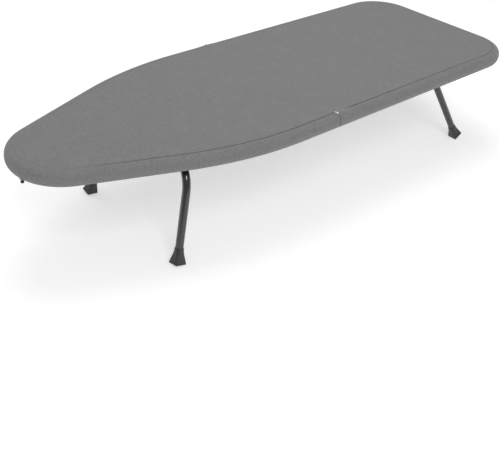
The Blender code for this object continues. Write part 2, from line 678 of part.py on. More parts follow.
def make_hook(finishes, bodies):
    tail = bodies["tail_half"]
    hook = bodies["hook"]
    path, centre = hook_path()
    wire = rod([hook_point(*point) for point in path], UP, HOOK_WIRE_DIAMETER / 2, HOOK_SIDES)
    make_object("hook_wire", wire, finishes["chrome"], hook)
    cover = arc(centre, HOOK_LOOP_RADIUS, HOOK_CAP_TURN - HOOK_LOOP_END, -HOOK_LOOP_END - radians(3), 6)
    outside = path_rings([hook_point(*point) for point in cover], UP, HOOK_CAP_RADIUS, HOOK_SIDES)
    bore = arc(centre, HOOK_LOOP_RADIUS, HOOK_CAP_TURN - HOOK_LOOP_END, -HOOK_LOOP_END - radians(1), 6)
    bore_radius = HOOK_WIRE_DIAMETER / 2 + TOUCH
    inside = path_rings([hook_point(*point) for point in bore], UP, bore_radius, HOOK_SIDES)
    make_object("hook_tip_cap", loft(outside[::-1] + inside), finishes["black plastic"], hook)
    top = HEIGHT - FLANGE_TOP_DROP
    low = HEIGHT - STRAP_BOTTOM_DROP
    ends = (STRAP_X - HOOK_STRAP_LENGTH / 2, STRAP_X + HOOK_STRAP_LENGTH / 2)
    section = [(ends[0], low), (ends[1], low), (ends[1], top), (ends[0], top)]
    strap = prism(section, -SADDLE_WIDTH / 2, SADDLE_WIDTH / 2)
    strap = make_object("hook_strap", strap, finishes["black steel"], tail)
    cut_rivet_hole(strap, "hook_rivet_hole", HOOK_X, 0, tail)
    for side, sign in SIDES.items():
        name = f"hook_strap_rivet_{side}"
        make_rivet(name, STRAP_RIVET_X, sign * RAIL_Y, STRAP_BOTTOM_DROP, finishes["zinc"], tail)
        cut_rivet_hole(strap, name + "_strap_hole", STRAP_RIVET_X, sign * RAIL_Y, tail)
        rail = bpy.data.objects[f"tail_rail_{side}"]
        cut_rivet_hole(rail, name + "_rail_hole", STRAP_RIVET_X, sign * RAIL_Y, tail)
    head = HOOK_Z - HOOK_WIRE_DIAMETER / 2 - TOUCH
    grip = HEIGHT - FLANGE_TOP_DROP + TOUCH - head
    profile = [
        (-RIVET_HEAD_HEIGHT, RIVET_HEAD_RADIUS * 0.4),
        (-RIVET_HEAD_HEIGHT * 0.7, RIVET_HEAD_RADIUS * 0.85),
        (0, RIVET_HEAD_RADIUS),
        (0, RIVET_SHANK_RADIUS),
        (grip, RIVET_SHANK_RADIUS),
        (grip, RIVET_TAIL_RADIUS),
        (grip + RIVET_TAIL_HEIGHT, RIVET_TAIL_RADIUS),
    ]
    make_object("hook_rivet", turned(Vector((HOOK_X, 0, head)), UP, profile), finishes["zinc"], tail)


# Drawcord


def smooth_route(points, spacing):
    """Points about a spacing apart on a smooth curve through the route's points."""
    route = [Vector(point) for point in points]
    path = []
    for i in range(len(route) - 1):
        before = route[max(i - 1, 0)]
        start = route[i]
        end = route[i + 1]
        after = route[min(i + 2, len(route) - 1)]
        steps = max(1, ceil((end - start).length / spacing))
        for step in range(steps):
            t = step / steps
            bend = (2 * before - 5 * start + 4 * end - after) * t * t
            twist = (3 * start - before - 3 * end + after) * t**3
            path.append((2 * start + (end - before) * t + bend + twist) / 2)
    return path + [route[-1]]


def make_draw_cord(finishes, body):
    curve = bpy.data.curves.new("draw_cord", "CURVE")
    curve.dimensions = "3D"
    curve.bevel_depth = CORD_DIAMETER / 2
    curve.bevel_resolution = 2
    curve.use_fill_caps = True
    points = smooth_route(CORD_ROUTE, 2 * CORD_DIAMETER)
    spline = curve.splines.new("POLY")
    spline.points.add(len(points) - 1)
    for target, point in zip(spline.points, points):
        target.co = (*point, 1)
    curve.materials.append(finishes["cord"])
    obj = bpy.data.objects.new("draw_cord", curve)
    obj.parent = body
    bpy.context.scene.collection.objects.link(obj)
    end = Vector(CORD_ROUTE[-1])
    knot_top = end.z - TOUCH
    ball = [(0, 0.35), (0.15, 0.7), (0.4, 0.96), (0.6, 0.96), (0.85, 0.7), (1, 0.35)]
    profile = [(2 * KNOT_RADIUS * reach, KNOT_RADIUS * share) for reach, share in ball]
    foot = Vector((end.x, end.y, knot_top - 2 * KNOT_RADIUS))
    make_object("cord_knot", turned(foot, UP, profile, 12), finishes["cord"], body)
    lock_foot = Vector((end.x, end.y, end.z + TOUCH))
    section = ((0, 0.5), (0.1, 0.62), (0.28, 1), (0.72, 1), (0.76, 0.72), (1, 0.68))
    across = Vector((0, 1, 0))
    along = Vector((-1, 0, 0))
    rings = []
    for reach, share in section:
        squeeze = Matrix.Diagonal((LOCK_HALF_DEPTH / LOCK_HALF_WIDTH, 1, 1))
        square = rounded_square(Vector(), across, along, LOCK_HALF_WIDTH * share, 3 * MM * share)
        rings.append([lock_foot + squeeze @ point + UP * LOCK_LENGTH * reach for point in square])
    bore = CORD_DIAMETER / 2 + TOUCH
    inner = []
    for reach in (1, 0):
        centre = lock_foot + UP * LOCK_LENGTH * reach
        inner.append(rounded_square(centre, across, along, bore, bore * ROUND_SHARE))
    make_object("cord_lock", loft(rings + inner, looped=True), finishes["black plastic"], body)


# The whole board


def main():
    clear_scene()
    finishes = {
        "fabric": make_finish("grey woven cover", 0.19, 0.9, 0),
        "felt": make_finish("white felt pad", 0.75, 0.95, 0),
        "black steel": make_finish("black powder-coated steel", 0.015, 0.32, 0.2),
        "zinc": make_finish("zinc-plated steel", 0.65, 0.3, 1),
        "chrome": make_finish("chromed wire", 0.75, 0.12, 1),
        "black plastic": make_finish("black plastic", 0.02, 0.5, 0),
        "grey plastic": make_finish("dark grey plastic", 0.045, 0.45, 0),
        "cord": make_finish("black cord", 0.02, 0.8, 0),
    }
    rail_z = HEIGHT - RAIL_DROP
    bodies = {
        "nose_half": make_body("nose_half", (0, 0, 0)),
        "tail_half": make_body("tail_half", (0, 0, PIVOT_Z)),
        "nose_leg": make_body("nose_leg_body", (NOSE_LEG_X, 0, LEG_PIVOT_Z)),
        "tail_leg": make_body("tail_leg_body", (TAIL_LEG_X, 0, LEG_PIVOT_Z)),
        "hook": make_body("hook_body", (HOOK_X, 0, HOOK_Z)),
        "sleeve_left": make_body("sleeve_left_body", (-SLEEVE_SETBACK, -RAIL_Y, rail_z)),
        "sleeve_right": make_body("sleeve_right_body", (-SLEEVE_SETBACK, RAIL_Y, rail_z)),
    }
    make_half_board("nose", NOSE, finishes, bodies["nose_half"])
    make_half_board("tail", TAIL, finishes, bodies["tail_half"])
    for side, sign in SIDES.items():
        make_hinge(side, sign, finishes, bodies)
        make_lock_sleeve(side, sign, finishes, bodies)
    make_saddle("nose", NOSE_LEG_X, NOSE_LEG_LEAN, finishes, bodies["nose_half"])
    make_saddle("tail", TAIL_LEG_X, TAIL_LEG_LEAN, finishes, bodies["tail_half"])
    make_leg("nose", NOSE, NOSE_LEG_X, NOSE_LEG_LEAN, finishes, bodies["nose_leg"])
    make_leg("tail", TAIL, TAIL_LEG_X, TAIL_LEG_LEAN, finishes, bodies["tail_leg"])
    make_hook(finishes, bodies)
    make_draw_cord(finishes, bodies["nose_half"])


main()
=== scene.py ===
"""Looks of a folding tabletop ironing board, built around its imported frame. Sizes are in metres."""

import bpy
import numpy as np
from mathutils import Matrix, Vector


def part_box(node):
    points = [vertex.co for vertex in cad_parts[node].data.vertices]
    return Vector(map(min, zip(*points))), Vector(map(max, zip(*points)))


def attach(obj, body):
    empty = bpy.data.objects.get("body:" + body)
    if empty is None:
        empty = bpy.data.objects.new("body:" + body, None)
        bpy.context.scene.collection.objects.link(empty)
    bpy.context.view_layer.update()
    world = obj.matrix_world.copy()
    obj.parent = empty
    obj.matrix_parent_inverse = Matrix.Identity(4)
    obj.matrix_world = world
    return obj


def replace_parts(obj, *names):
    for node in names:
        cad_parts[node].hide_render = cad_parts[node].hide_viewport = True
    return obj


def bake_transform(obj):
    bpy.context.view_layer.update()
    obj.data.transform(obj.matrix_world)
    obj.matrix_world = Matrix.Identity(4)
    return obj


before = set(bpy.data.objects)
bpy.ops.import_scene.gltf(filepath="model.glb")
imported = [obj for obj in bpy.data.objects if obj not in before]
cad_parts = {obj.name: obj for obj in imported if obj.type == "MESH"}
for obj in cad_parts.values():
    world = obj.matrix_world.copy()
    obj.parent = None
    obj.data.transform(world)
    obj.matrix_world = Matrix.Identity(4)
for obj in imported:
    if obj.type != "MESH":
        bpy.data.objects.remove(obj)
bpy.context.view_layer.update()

MM = 0.001


# Camera. A short telephoto view from beyond the nose's near side, tipped down and rolled a little.

CAMERA_PLACE = (-0.7189, -0.7823, 0.6420)
CAMERA_YAW = np.radians(41.77)
CAMERA_PITCH = np.radians(35.27)
CAMERA_ROLL = np.radians(2.65)
CAMERA_LENS = 57.5


def make_camera():
    """The columns of the camera's rotation are its right, up and back directions, turned by the roll."""
    yaw, pitch, roll = CAMERA_YAW, CAMERA_PITCH, CAMERA_ROLL
    ahead = np.array([np.sin(yaw) * np.cos(pitch), np.cos(yaw) * np.cos(pitch), -np.sin(pitch)])
    level_right = np.array([np.cos(yaw), -np.sin(yaw), 0])
    level_up = np.cross(level_right, ahead)
    right = level_right * np.cos(roll) + level_up * np.sin(roll)
    up = -level_right * np.sin(roll) + level_up * np.cos(roll)
    camera = bpy.data.objects.new("camera", bpy.data.cameras.new("camera"))
    camera.data.lens = CAMERA_LENS
    turn = np.eye(4)
    turn[:3, :3] = np.column_stack([right, up, -ahead])
    turn[:3, 3] = CAMERA_PLACE
    camera.matrix_world = Matrix(turn.tolist())
    bpy.context.scene.collection.objects.link(camera)
    bpy.context.scene.camera = camera


make_camera()


# Drawcord. Black braided cord that closes the cover's hem. Its tail leaves the hem beside the nose,
# runs down through a squeeze lock and ends in a knot.

CORD_DIAMETER = 2.5 * MM
CORD_EXIT = (-0.3700, 0.0415, 0.1408)
CORD_STEP = 2.7 * MM
CORD_POINTS = 15
CORD_ROUTE = [(CORD_EXIT[0], CORD_EXIT[1], CORD_EXIT[2] - CORD_STEP * i) for i in range(CORD_POINTS)]
BRAID_PITCH = 1.6 * MM


def mesh_object(name, points, faces, material, body=None, smooth=40, uv=None):
    """An object at the origin whose mesh holds the points. Edges sharper than smooth degrees stay sharp."""
    mesh = bpy.data.meshes.new(name)
    mesh.from_pydata(np.asarray(points).tolist(), [], [list(face) for face in faces])
    mesh.shade_smooth()
    mesh.set_sharp_from_angle(angle=np.radians(smooth))
    mesh.materials.append(material)
    if uv is not None:
        corners = np.zeros(len(mesh.loops), np.int32)
        mesh.loops.foreach_get("vertex_index", corners)
        layer = mesh.uv_layers.new(name="cloth")
        layer.data.foreach_set("uv", np.asarray(uv, np.float32)[corners].ravel())
    obj = bpy.data.objects.new(name, mesh)
    bpy.context.scene.collection.objects.link(obj)
    if body:
        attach(obj, body)
    return obj


def ring_faces(rows, sides, looped):
    """Quads between successive rings of a grid, each corner the ring's number times sides plus its place.

    A looped skin joins the last ring to the first, else both ends are closed by one face each.
    """
    last = rows if looped else rows - 1
    ring, place = np.meshgrid(np.arange(last), np.arange(sides), indexing="ij")
    after, beside = (ring + 1) % rows, (place + 1) % sides
    corners = [ring * sides + place, ring * sides + beside, after * sides + beside, after * sides + place]
    quads = np.stack(corners, -1)
    faces = quads.reshape(-1, 4).tolist()
    if not looped:
        faces.append(list(range(sides))[::-1])
        faces.append(list(range((rows - 1) * sides, rows * sides)))
    return faces


def turned_out(points, faces):
    """The faces, all turned round if the volume that they enclose comes out negative."""
    points = np.asarray(points)
    volume = 0
    for corners in (3, 4):
        chosen = np.array([face for face in faces if len(face) == corners])
        if len(chosen):
            first = points[chosen[:, 0]]
            for k in range(1, corners - 1):
                fan = np.cross(points[chosen[:, k]], points[chosen[:, k + 1]])
                volume += np.einsum("ij,ij->i", first, fan).sum()
    return faces if volume > 0 else [face[::-1] for face in faces]


def skin(name, rings, material, body=None, looped=False, smooth=40):
    """A closed surface over rings of equal length, given as an array (rings, places, 3)."""
    rings = np.asarray(rings, float)
    points = rings.reshape(-1, 3)
    faces = turned_out(points, ring_faces(len(rings), rings.shape[1], looped))
    return mesh_object(name, points, faces, material, body, smooth)


def path_frames(path, closed=False):
    """Unit tangents of a path, from each point's neighbours."""
    path = np.asarray(path, float)
    ahead = np.roll(path, -1, 0) - np.roll(path, 1, 0)
    if not closed:
        ahead[0], ahead[-1] = path[1] - path[0], path[-1] - path[-2]
    return ahead / np.linalg.norm(ahead, axis=1)[:, None]


def circles(path, normal, radius, sides, closed=False):
    """Rings square to a path: point + radius * (cos t * side + sin t * normal), t round the turn."""
    path = np.asarray(path, float)
    ahead = path_frames(path, closed)
    normal = np.broadcast_to(np.asarray(normal, float), path.shape)
    side = np.cross(ahead, normal)
    side /= np.linalg.norm(side, axis=1)[:, None]
    up = np.cross(side, ahead)
    t = np.linspace(0, 2 * np.pi, sides, endpoint=False)
    radius = np.broadcast_to(radius, len(path))[:, None, None]
    round_it = np.cos(t)[None, :, None] * side[:, None] + np.sin(t)[None, :, None] * up[:, None]
    return path[:, None] + radius * round_it


def pipe(name, path, normal, radius, wall, sides, material, body, closed=False):
    """A tube with open ends and lightly rounded mouths: its outer rings, then its inner rings backwards."""
    path = np.asarray(path, float)
    ahead = path_frames(path, closed)
    ease = min(0.3 * MM, wall / 3)
    start, end = path[:1], path[-1:]
    along = np.vstack([start, start + ahead[:1] * ease, path[1:-1], end - ahead[-1:] * ease, end])
    outer = np.full(len(along), radius)
    outer[[0, -1]] -= ease
    outside = circles(along, normal, outer, sides)
    inside = circles(along, normal, radius - wall, sides)
    return skin(name, np.concatenate([outside, inside[::-1]]), material, body, looped=True)


def turned(name, foot, axis, profile, sides, material, body, smooth=35):
    """A solid turned about an axis through foot. The profile's pairs are distance along it and radius."""
    axis = np.asarray(axis, float)
    across = np.cross(axis, (0, 0, 1.0)) if abs(axis[2]) < 0.9 else np.array([1.0, 0, 0])
    across /= np.linalg.norm(across)
    along = np.cross(axis, across)
    t = np.linspace(0, 2 * np.pi, sides, endpoint=False)
    circle = np.cos(t)[:, None] * across + np.sin(t)[:, None] * along
    rings = [np.asarray(foot) + axis * reach + circle * radius for reach, radius in profile]
    return skin(name, rings, material, body, smooth=smooth)


class Nodes:
    """Short hands for a material's node tree. new adds a node, and an input that is a socket is linked."""

    def __init__(self, name):
        self.material = bpy.data.materials.new(name)
        self.material.use_nodes = True
        self.tree = self.material.node_tree
        self.shader = self.tree.nodes["Principled BSDF"]

    def new(self, kind, inputs=None, **settings):
        node = self.tree.nodes.new("ShaderNode" + kind)
        for key, value in settings.items():
            setattr(node, key, value)
        for key, value in (inputs or {}).items():
            if isinstance(value, bpy.types.NodeSocket):
                self.tree.links.new(value, node.inputs[key])
            else:
                node.inputs[key].default_value = value
        return node

    def maths(self, operation, *values):
        inputs = dict(enumerate(values))
        return self.new("Math", inputs, operation=operation).outputs[0]

    def noise(self, where, scale, detail=2.0, roughness=0.5):
        values = {"Vector": where, "Scale": scale, "Detail": detail, "Roughness": roughness}
        found = self.new("TexNoise", values)
        return found.outputs["Fac"]

    def place(self, scale=(1, 1, 1), turn=(0, 0, 0), uv=False):
        """Object coordinates in metres, or the cloth's own UV map, stretched by scale."""
        source = self.new("TexCoord").outputs["UV" if uv else "Object"]
        return self.new("Mapping", {"Vector": source, "Rotation": turn, "Scale": scale}).outputs[0]

    def ramp(self, share, low, high):
        """The share from 0 to 1 carried to the range from low to high."""
        mapped = self.new("MapRange", {"Value": share, "To Min": low, "To Max": high})
        return mapped.outputs[0]

    def grey(self, value, tint=(1, 1, 1)):
        """A value as a colour with a slight tint."""
        parts = [self.maths("MULTIPLY", value, t) for t in tint]
        return self.new("CombineColor", dict(enumerate(parts))).outputs[0]

    def bump(self, height, distance, strength=1.0, under=None):
        inputs = {"Height": height, "Distance": distance, "Strength": strength}
        if under is not None:
            inputs["Normal"] = under
        return self.new("Bump", inputs).outputs[0]

    def finish(self, links=None, **fixed):
        """Sets the shader's own sockets, and links those that vary over the surface."""
        for key, value in fixed.items():
            self.shader.inputs[key.replace("_", " ").title().replace("Ior", "IOR")].default_value = value
        for key, value in (links or {}).items():
            self.tree.links.new(value, self.shader.inputs[key])
        return self.material


def braided_cord():
    """Two sets of stripes that cross, each the sine of height plus or minus the turn round the cord."""
    n = Nodes("black braided cord")
    split = n.new("SeparateXYZ", {"Vector": n.place()})
    x = n.maths("SUBTRACT", split.outputs[0], CORD_EXIT[0])
    y = n.maths("SUBTRACT", split.outputs[1], CORD_EXIT[1])
    turn = n.maths("MULTIPLY", n.maths("ARCTAN2", y, x), 4.0)
    rise = n.maths("MULTIPLY", split.outputs[2], 2 * np.pi / BRAID_PITCH)
    left = n.maths("SINE", n.maths("ADD", rise, turn))
    right = n.maths("SINE", n.maths("SUBTRACT", rise, turn))
    braid = n.ramp(n.maths("MAXIMUM", left, right), 0.0, 1.0)
    speck = n.noise(n.place(), 2600)
    shade = n.maths("MULTIPLY", n.ramp(braid, 0.012, 0.03), n.ramp(speck, 0.8, 1.3))
    links = {"Base Color": n.grey(shade), "Normal": n.bump(braid, 0.3 * MM)}
    return n.finish(links, roughness=0.75, sheen_weight=0.2)


def grained_plastic(name, low, high, roughness, grain=900, polish=0.0):
    """Moulded plastic: fine spark grain, slow colour drift, and a gloss that wanders a little."""
    n = Nodes(name)
    grain_height = n.noise(n.place(), grain, 3)
    drift = n.noise(n.place(), 60)
    shade = n.ramp(drift, low, high)
    links = {
        "Base Color": n.grey(shade, (1, 1, 1.02)),
        "Roughness": n.ramp(n.noise(n.place(), 240), roughness - 0.08, roughness + 0.08),
        "Normal": n.bump(grain_height, 0.05 * MM, 0.5),
    }
    return n.finish(links, coat_weight=polish, coat_roughness=0.15)


black_cord = braided_cord()
black_plastic = grained_plastic("black plastic", 0.012, 0.022, 0.42, polish=0.3)

cord_rings = circles(np.array(CORD_ROUTE), (1, 0, 0), CORD_DIAMETER / 2, 16)
cord = skin("drawcord", cord_rings, black_cord, "nose_half", smooth=60)
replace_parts(cord, "draw_cord")

knot_low, knot_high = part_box("cord_knot")
knot_radius = (knot_high.z - knot_low.z) / 2


def make_knot():
    """A tight overhand knot: a ball whose radius swells and dips with the sine of turn and rise together."""
    rise = np.linspace(-np.pi / 2, np.pi / 2, 20)[1:-1, None]
    turn = np.linspace(0, 2 * np.pi, 32, endpoint=False)[None]
    radius = knot_radius * (0.94 + 0.06 * np.sin(3 * turn + 4 * rise))
    x = CORD_EXIT[0] + radius * np.cos(rise) * np.cos(turn)
    y = CORD_EXIT[1] + radius * np.cos(rise) * np.sin(turn)
    z = (knot_low.z + knot_high.z) / 2 + radius * np.sin(rise) + 0 * turn
    knot = skin("drawcord_knot", np.stack([x, y, z], -1), black_cord, "nose_half", smooth=60)
    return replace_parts(knot, "cord_knot")


def rounded_rectangles(centres, half_x, half_y, corner, steps=5):
    """Level outlines with round corners: |x| <= half_x, |y| <= half_y, quarter circles of radius corner."""
    rings = []
    for centre, hx, hy, rc in zip(centres, half_x, half_y, corner):
        t = np.linspace(0, np.pi / 2, steps)
        quarters = []
        for sx, sy, start in ((1, 1, 0), (-1, 1, 1), (-1, -1, 2), (1, -1, 3)):
            angle = t + start * np.pi / 2
            u = sx * (hx - rc) + rc * np.cos(angle)
            v = sy * (hy - rc) + rc * np.sin(angle)
            quarters.append(np.stack([centre[0] + u, centre[1] + v, np.full_like(u, centre[2])], -1))
        rings.append(np.concatenate(quarters))
    return np.array(rings)


def make_cord_lock():
    """Flat barrel lock: a ribbed body, a waist, and a tapered foot, bored through for the cord."""
    low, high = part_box("cord_lock")
    length = high.z - low.z
    half_x, half_y = (high.x - low.x) / 2, (high.y - low.y) / 2
    share = np.array([0, 0.02, 0.1, 0.26, 0.29, 0.36, 0.38, 0.41, 0.47, 0.49,
                      0.52, 0.58, 0.6, 0.63, 0.7, 0.73, 0.77, 0.97, 1])
    wide = np.array([0.46, 0.52, 0.62, 0.97, 1, 1, 0.92, 1, 1, 0.92, 1, 1, 0.92, 1, 1, 0.96, 0.7, 0.68, 0.62])
    centres = [(CORD_EXIT[0], CORD_EXIT[1], low.z + length * s) for s in share]
    outside = rounded_rectangles(centres, half_x * wide, half_y * wide, 3 * MM * wide)
    bore = CORD_DIAMETER / 2 + 0.2 * MM
    bores = np.full(len(share), bore)
    inside = rounded_rectangles(centres[::-1], bores, bores, bores * 0.98)
    rings = np.concatenate([outside, inside])
    lock = skin("drawcord_lock", rings, black_plastic, "nose_half", looped=True, smooth=30)
    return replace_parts(lock, "cord_lock")


knot = make_knot()
lock = make_cord_lock()


# Studio. A pale seamless floor, white surroundings and two large soft lamps.

FLOOR_HALF = 20.0
FLOOR_GREY = 0.68
FLOOR_GLOW = 0.47
SKY_STRENGTH = 0.45
LAMPS = {
    "overhead": ((0.15, 0.3, 1.5), 1.0, 9.0),
    "front": ((-0.7, -1.4, 1.5), 0.8, 15.0),
}


def make_studio():
    scene = bpy.context.scene
    scene.view_settings.view_transform = "Standard"
    corners = [(x * FLOOR_HALF, y * FLOOR_HALF, 0) for x, y in ((-1, -1), (1, -1), (1, 1), (-1, 1))]
    n = Nodes("pale floor")
    shade = n.ramp(n.noise(n.place(), 3), FLOOR_GREY, FLOOR_GREY + 0.01)
    paper = n.finish({"Base Color": n.grey(shade)}, roughness=0.9, emission_color=(1, 1, 1, 1),
                     emission_strength=FLOOR_GLOW, specular_ior_level=0.0)
    mesh_object("floor", corners, [(0, 1, 2, 3)], paper)
    world = bpy.data.worlds.new("studio")
    world.use_nodes = True
    world.node_tree.nodes["Background"].inputs["Strength"].default_value = SKY_STRENGTH
    world.node_tree.nodes["Background"].inputs["Color"].default_value = (1, 1, 1, 1)
    scene.world = world
    for name, (place, size, power) in LAMPS.items():
        lamp = bpy.data.lights.new(name, "AREA")
        lamp.size, lamp.energy = size, power
        obj = bpy.data.objects.new(name, lamp)
        back = np.array(place) / np.linalg.norm(place)
        across = np.cross((0, 0, 1.0), back)
        across /= np.linalg.norm(across)
        turn = np.eye(4)
        turn[:3, :3] = np.column_stack([across, np.cross(back, across), back])
        turn[:3, 3] = place
        obj.matrix_world = Matrix(turn.tolist())
        scene.collection.objects.link(obj)


make_studio()


# Cover. One bag of heathered grey woven cotton over both halves. It is flat over the padding, dips in a
# groove where the padding ends, rolls over the rim tube, and is slit at the fold.

half_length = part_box("tail_cover")[1].x
half_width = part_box("tail_cover")[1].y
top_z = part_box("tail_cover")[1].z
NOSE_RADIUS = 76 * MM
NOSE_TAPER = np.radians(21.5)
SHOULDER_RADIUS = 450 * MM
TAIL_CORNER_RADIUS = 66 * MM
SLIT_HALF = 0.35 * MM
CLOTH_THICKNESS = 0.8 * MM
ROLL_CENTRE = 10.7 * MM
ROLL_HEIGHT = 10.35 * MM
ROLL_SQUARENESS = 0.9
GROOVE_INSET = 12.4 * MM
GROOVE_WIDTH = 0.75 * MM
GROOVE_DEPTH = 1.35 * MM
SWELL_HEIGHT = 1.2 * MM
SWELL_LENGTH = 10 * MM
SWELL_WIDTH = 5.5 * MM
YARN_PITCH = 0.62 * MM


def smoothstep(value, low, high):
    """0 below low, 1 above high, and 3 t^2 - 2 t^3 between them."""
    t = np.clip((value - low) / (high - low), 0, 1)
    return t * t * (3 - 2 * t)


def right_outline(spacing):
    """Points and outward directions of the +Y edge, from the middle of the tail round to the nose tip.

    The parts are lines and arcs: tail end, tail corner, long side, fold, shoulder, taper and nose.
    Near the fold the spacing tightens to the slit's width.
    """
    corner = TAIL_CORNER_RADIUS
    nose_x = NOSE_RADIUS - half_length
    across = (half_width - SHOULDER_RADIUS) * np.cos(NOSE_TAPER) + SHOULDER_RADIUS - NOSE_RADIUS
    shoulder_x = nose_x + across / np.sin(NOSE_TAPER)

    def count(length):
        return max(2, int(np.ceil(length / spacing)) + 1)

    def curve(x, y, radius, start, end):
        t = np.linspace(start, end, count(radius * abs(end - start)))
        out = np.stack([np.cos(t), np.sin(t)], -1)
        return np.array([x, y]) + radius * out, out

    near = np.array([0.6, 1.0, 1.6, 2.4, 3.4, 4.8, 6.5, 8.5, 11, 14, 17.5, 21.5, 26]) * MM
    tail_run = np.linspace(half_length - corner, near[-1], count(half_length - corner - near[-1]))[:-1]
    nose_run = np.linspace(-near[-1], shoulder_x, count(-near[-1] - shoulder_x))[1:]
    side_x = np.concatenate([tail_run, near[::-1], -near, nose_run])
    side = np.stack([side_x, np.full_like(side_x, half_width)], -1)
    end_y = np.linspace(0, half_width - corner, count(half_width - corner))
    end = np.stack([np.full_like(end_y, half_length), end_y], -1)
    bend, bend_out = curve(half_length - corner, half_width - corner, corner, 0, np.pi / 2)
    shoulder, shoulder_out = curve(shoulder_x, half_width - SHOULDER_RADIUS, SHOULDER_RADIUS,
                                   np.pi / 2, np.pi / 2 + NOSE_TAPER)
    tip, tip_out = curve(nose_x, 0, NOSE_RADIUS, np.pi / 2 + NOSE_TAPER, np.pi)
    gap = np.linalg.norm(tip[0] - shoulder[-1])
    share = np.linspace(0, 1, count(gap))[1:-1, None]
    taper = shoulder[-1] + (tip[0] - shoulder[-1]) * share
    places = [end, bend[1:-1], side, shoulder[1:], taper, tip]
    outs = [np.tile((1.0, 0), (len(end), 1)), bend_out[1:-1], np.tile((0, 1.0), (len(side), 1)),
            shoulder_out[1:], np.tile(shoulder_out[-1], (len(taper), 1)), tip_out]
    return np.concatenate(places), np.concatenate(outs)


def whole_outline(spacing):
    """The closed outline, counterclockwise from above: the +Y edge, then its mirror image backwards."""
    place, out = right_outline(spacing)
    mirror = np.array([1, -1])
    return np.concatenate([place, place[-2:0:-1] * mirror]), np.concatenate([out, out[-2:0:-1] * mirror])


def cloth_wave(x, y, size, seed):
    """A smooth unrepeating wave from -1 to 1: eight sines of random direction and phase, about size long."""
    random = np.random.default_rng(seed)
    total = 0
    for _ in range(8):
        angle = random.uniform(0, 2 * np.pi)
        phase = random.uniform(0, 2 * np.pi)
        length = random.uniform(0.7, 1.5)
        total = total + np.sin((x * np.cos(angle) + y * np.sin(angle)) * 2 * np.pi / (size * length) + phase)
    return total / 8


def groove_share(x, y):
    """How deep the groove is, from 0 to 1: full along the -Y side, shallow at the far side and both ends."""
    side = 1 - 0.6 * smoothstep(y, -60 * MM, 60 * MM)
    nose = smoothstep(x, -half_length + 40 * MM, -half_length + 120 * MM)
    past_fold = smoothstep(x, 60 * MM, 300 * MM)
    tail = 1 - 0.35 * past_fold - 0.35 * smoothstep(x, half_length - 40 * MM, half_length)
    fold = 1 - smoothstep(x, -3 * MM, 1 * MM) * (1 - smoothstep(x, 16 * MM, 34 * MM))
    return side * (0.12 + 0.88 * nose) * tail * fold


def cover_rows(place):
    """Insets and drops below the top, arrays (profile rows, stations), from the hem seam to inset 40 mm.

    The roll is a superellipse quarter pair, inset = c - c cos^e, drop = c - h sin^e. Inside it the drop is
    the roll's top easing to nothing, plus the groove's bell, exp(-(inset - centre)^2 / width^2) deep.
    """
    angle = np.radians(np.linspace(-90, 90, 25))
    cos, sin = np.cos(angle), np.sin(angle)
    roll_inset = ROLL_CENTRE * (1 - np.abs(cos) ** ROLL_SQUARENESS)
    roll_drop = ROLL_CENTRE - ROLL_HEIGHT * np.sign(sin) * np.abs(sin) ** ROLL_SQUARENESS
    under = np.array([13.5, 12.3, 11.4]) * MM
    inner = np.array([11.1, 11.4, 11.7, 11.95, 12.15, 12.4, 12.65, 12.85, 13.1, 13.4, 13.8, 14.5, 15.6,
                      17.5, 20, 24, 29, 34, 40]) * MM
    inset = np.concatenate([under, roll_inset, inner])
    roll_low = ROLL_CENTRE + ROLL_HEIGHT
    inner_drop = (ROLL_CENTRE - ROLL_HEIGHT) * (1 - smoothstep(inner, 11 * MM, 17 * MM))
    drop = np.concatenate([np.full(3, roll_low), roll_drop, inner_drop])
    rows = len(inset)
    inset = np.repeat(inset[:, None], len(place), 1)
    drop = np.repeat(drop[:, None], len(place), 1)
    x, y = place[:, 0], place[:, 1]
    bell = np.exp(-(((inset - GROOVE_INSET) / GROOVE_WIDTH) ** 2))
    above = (np.arange(rows) >= 3 + 14)[:, None]
    drop = drop + above * GROOVE_DEPTH * groove_share(x, y) * bell
    swell = np.exp(-((x - 1.5 * MM) / SWELL_LENGTH) ** 2) * (np.abs(y) > half_width - 1 * MM)
    swell_row = np.exp(-(((inset - 9.3 * MM) / SWELL_WIDTH) ** 2))
    swell_row = swell_row * smoothstep(ROLL_CENTRE - drop, 2 * MM, 8 * MM)
    drop = drop - SWELL_HEIGHT * swell * swell_row
    slack = cloth_wave(x, y, 70 * MM, 3)
    side = smoothstep(drop, 4 * MM, 9 * MM) * (1 - smoothstep(drop, 15 * MM, 20 * MM))
    inset = inset + side * (0.35 * MM + 0.3 * MM * slack)
    pinch = np.exp(-(x / (3.2 * MM)) ** 2)
    inset = inset + side * pinch * 0.7 * MM
    return inset, drop


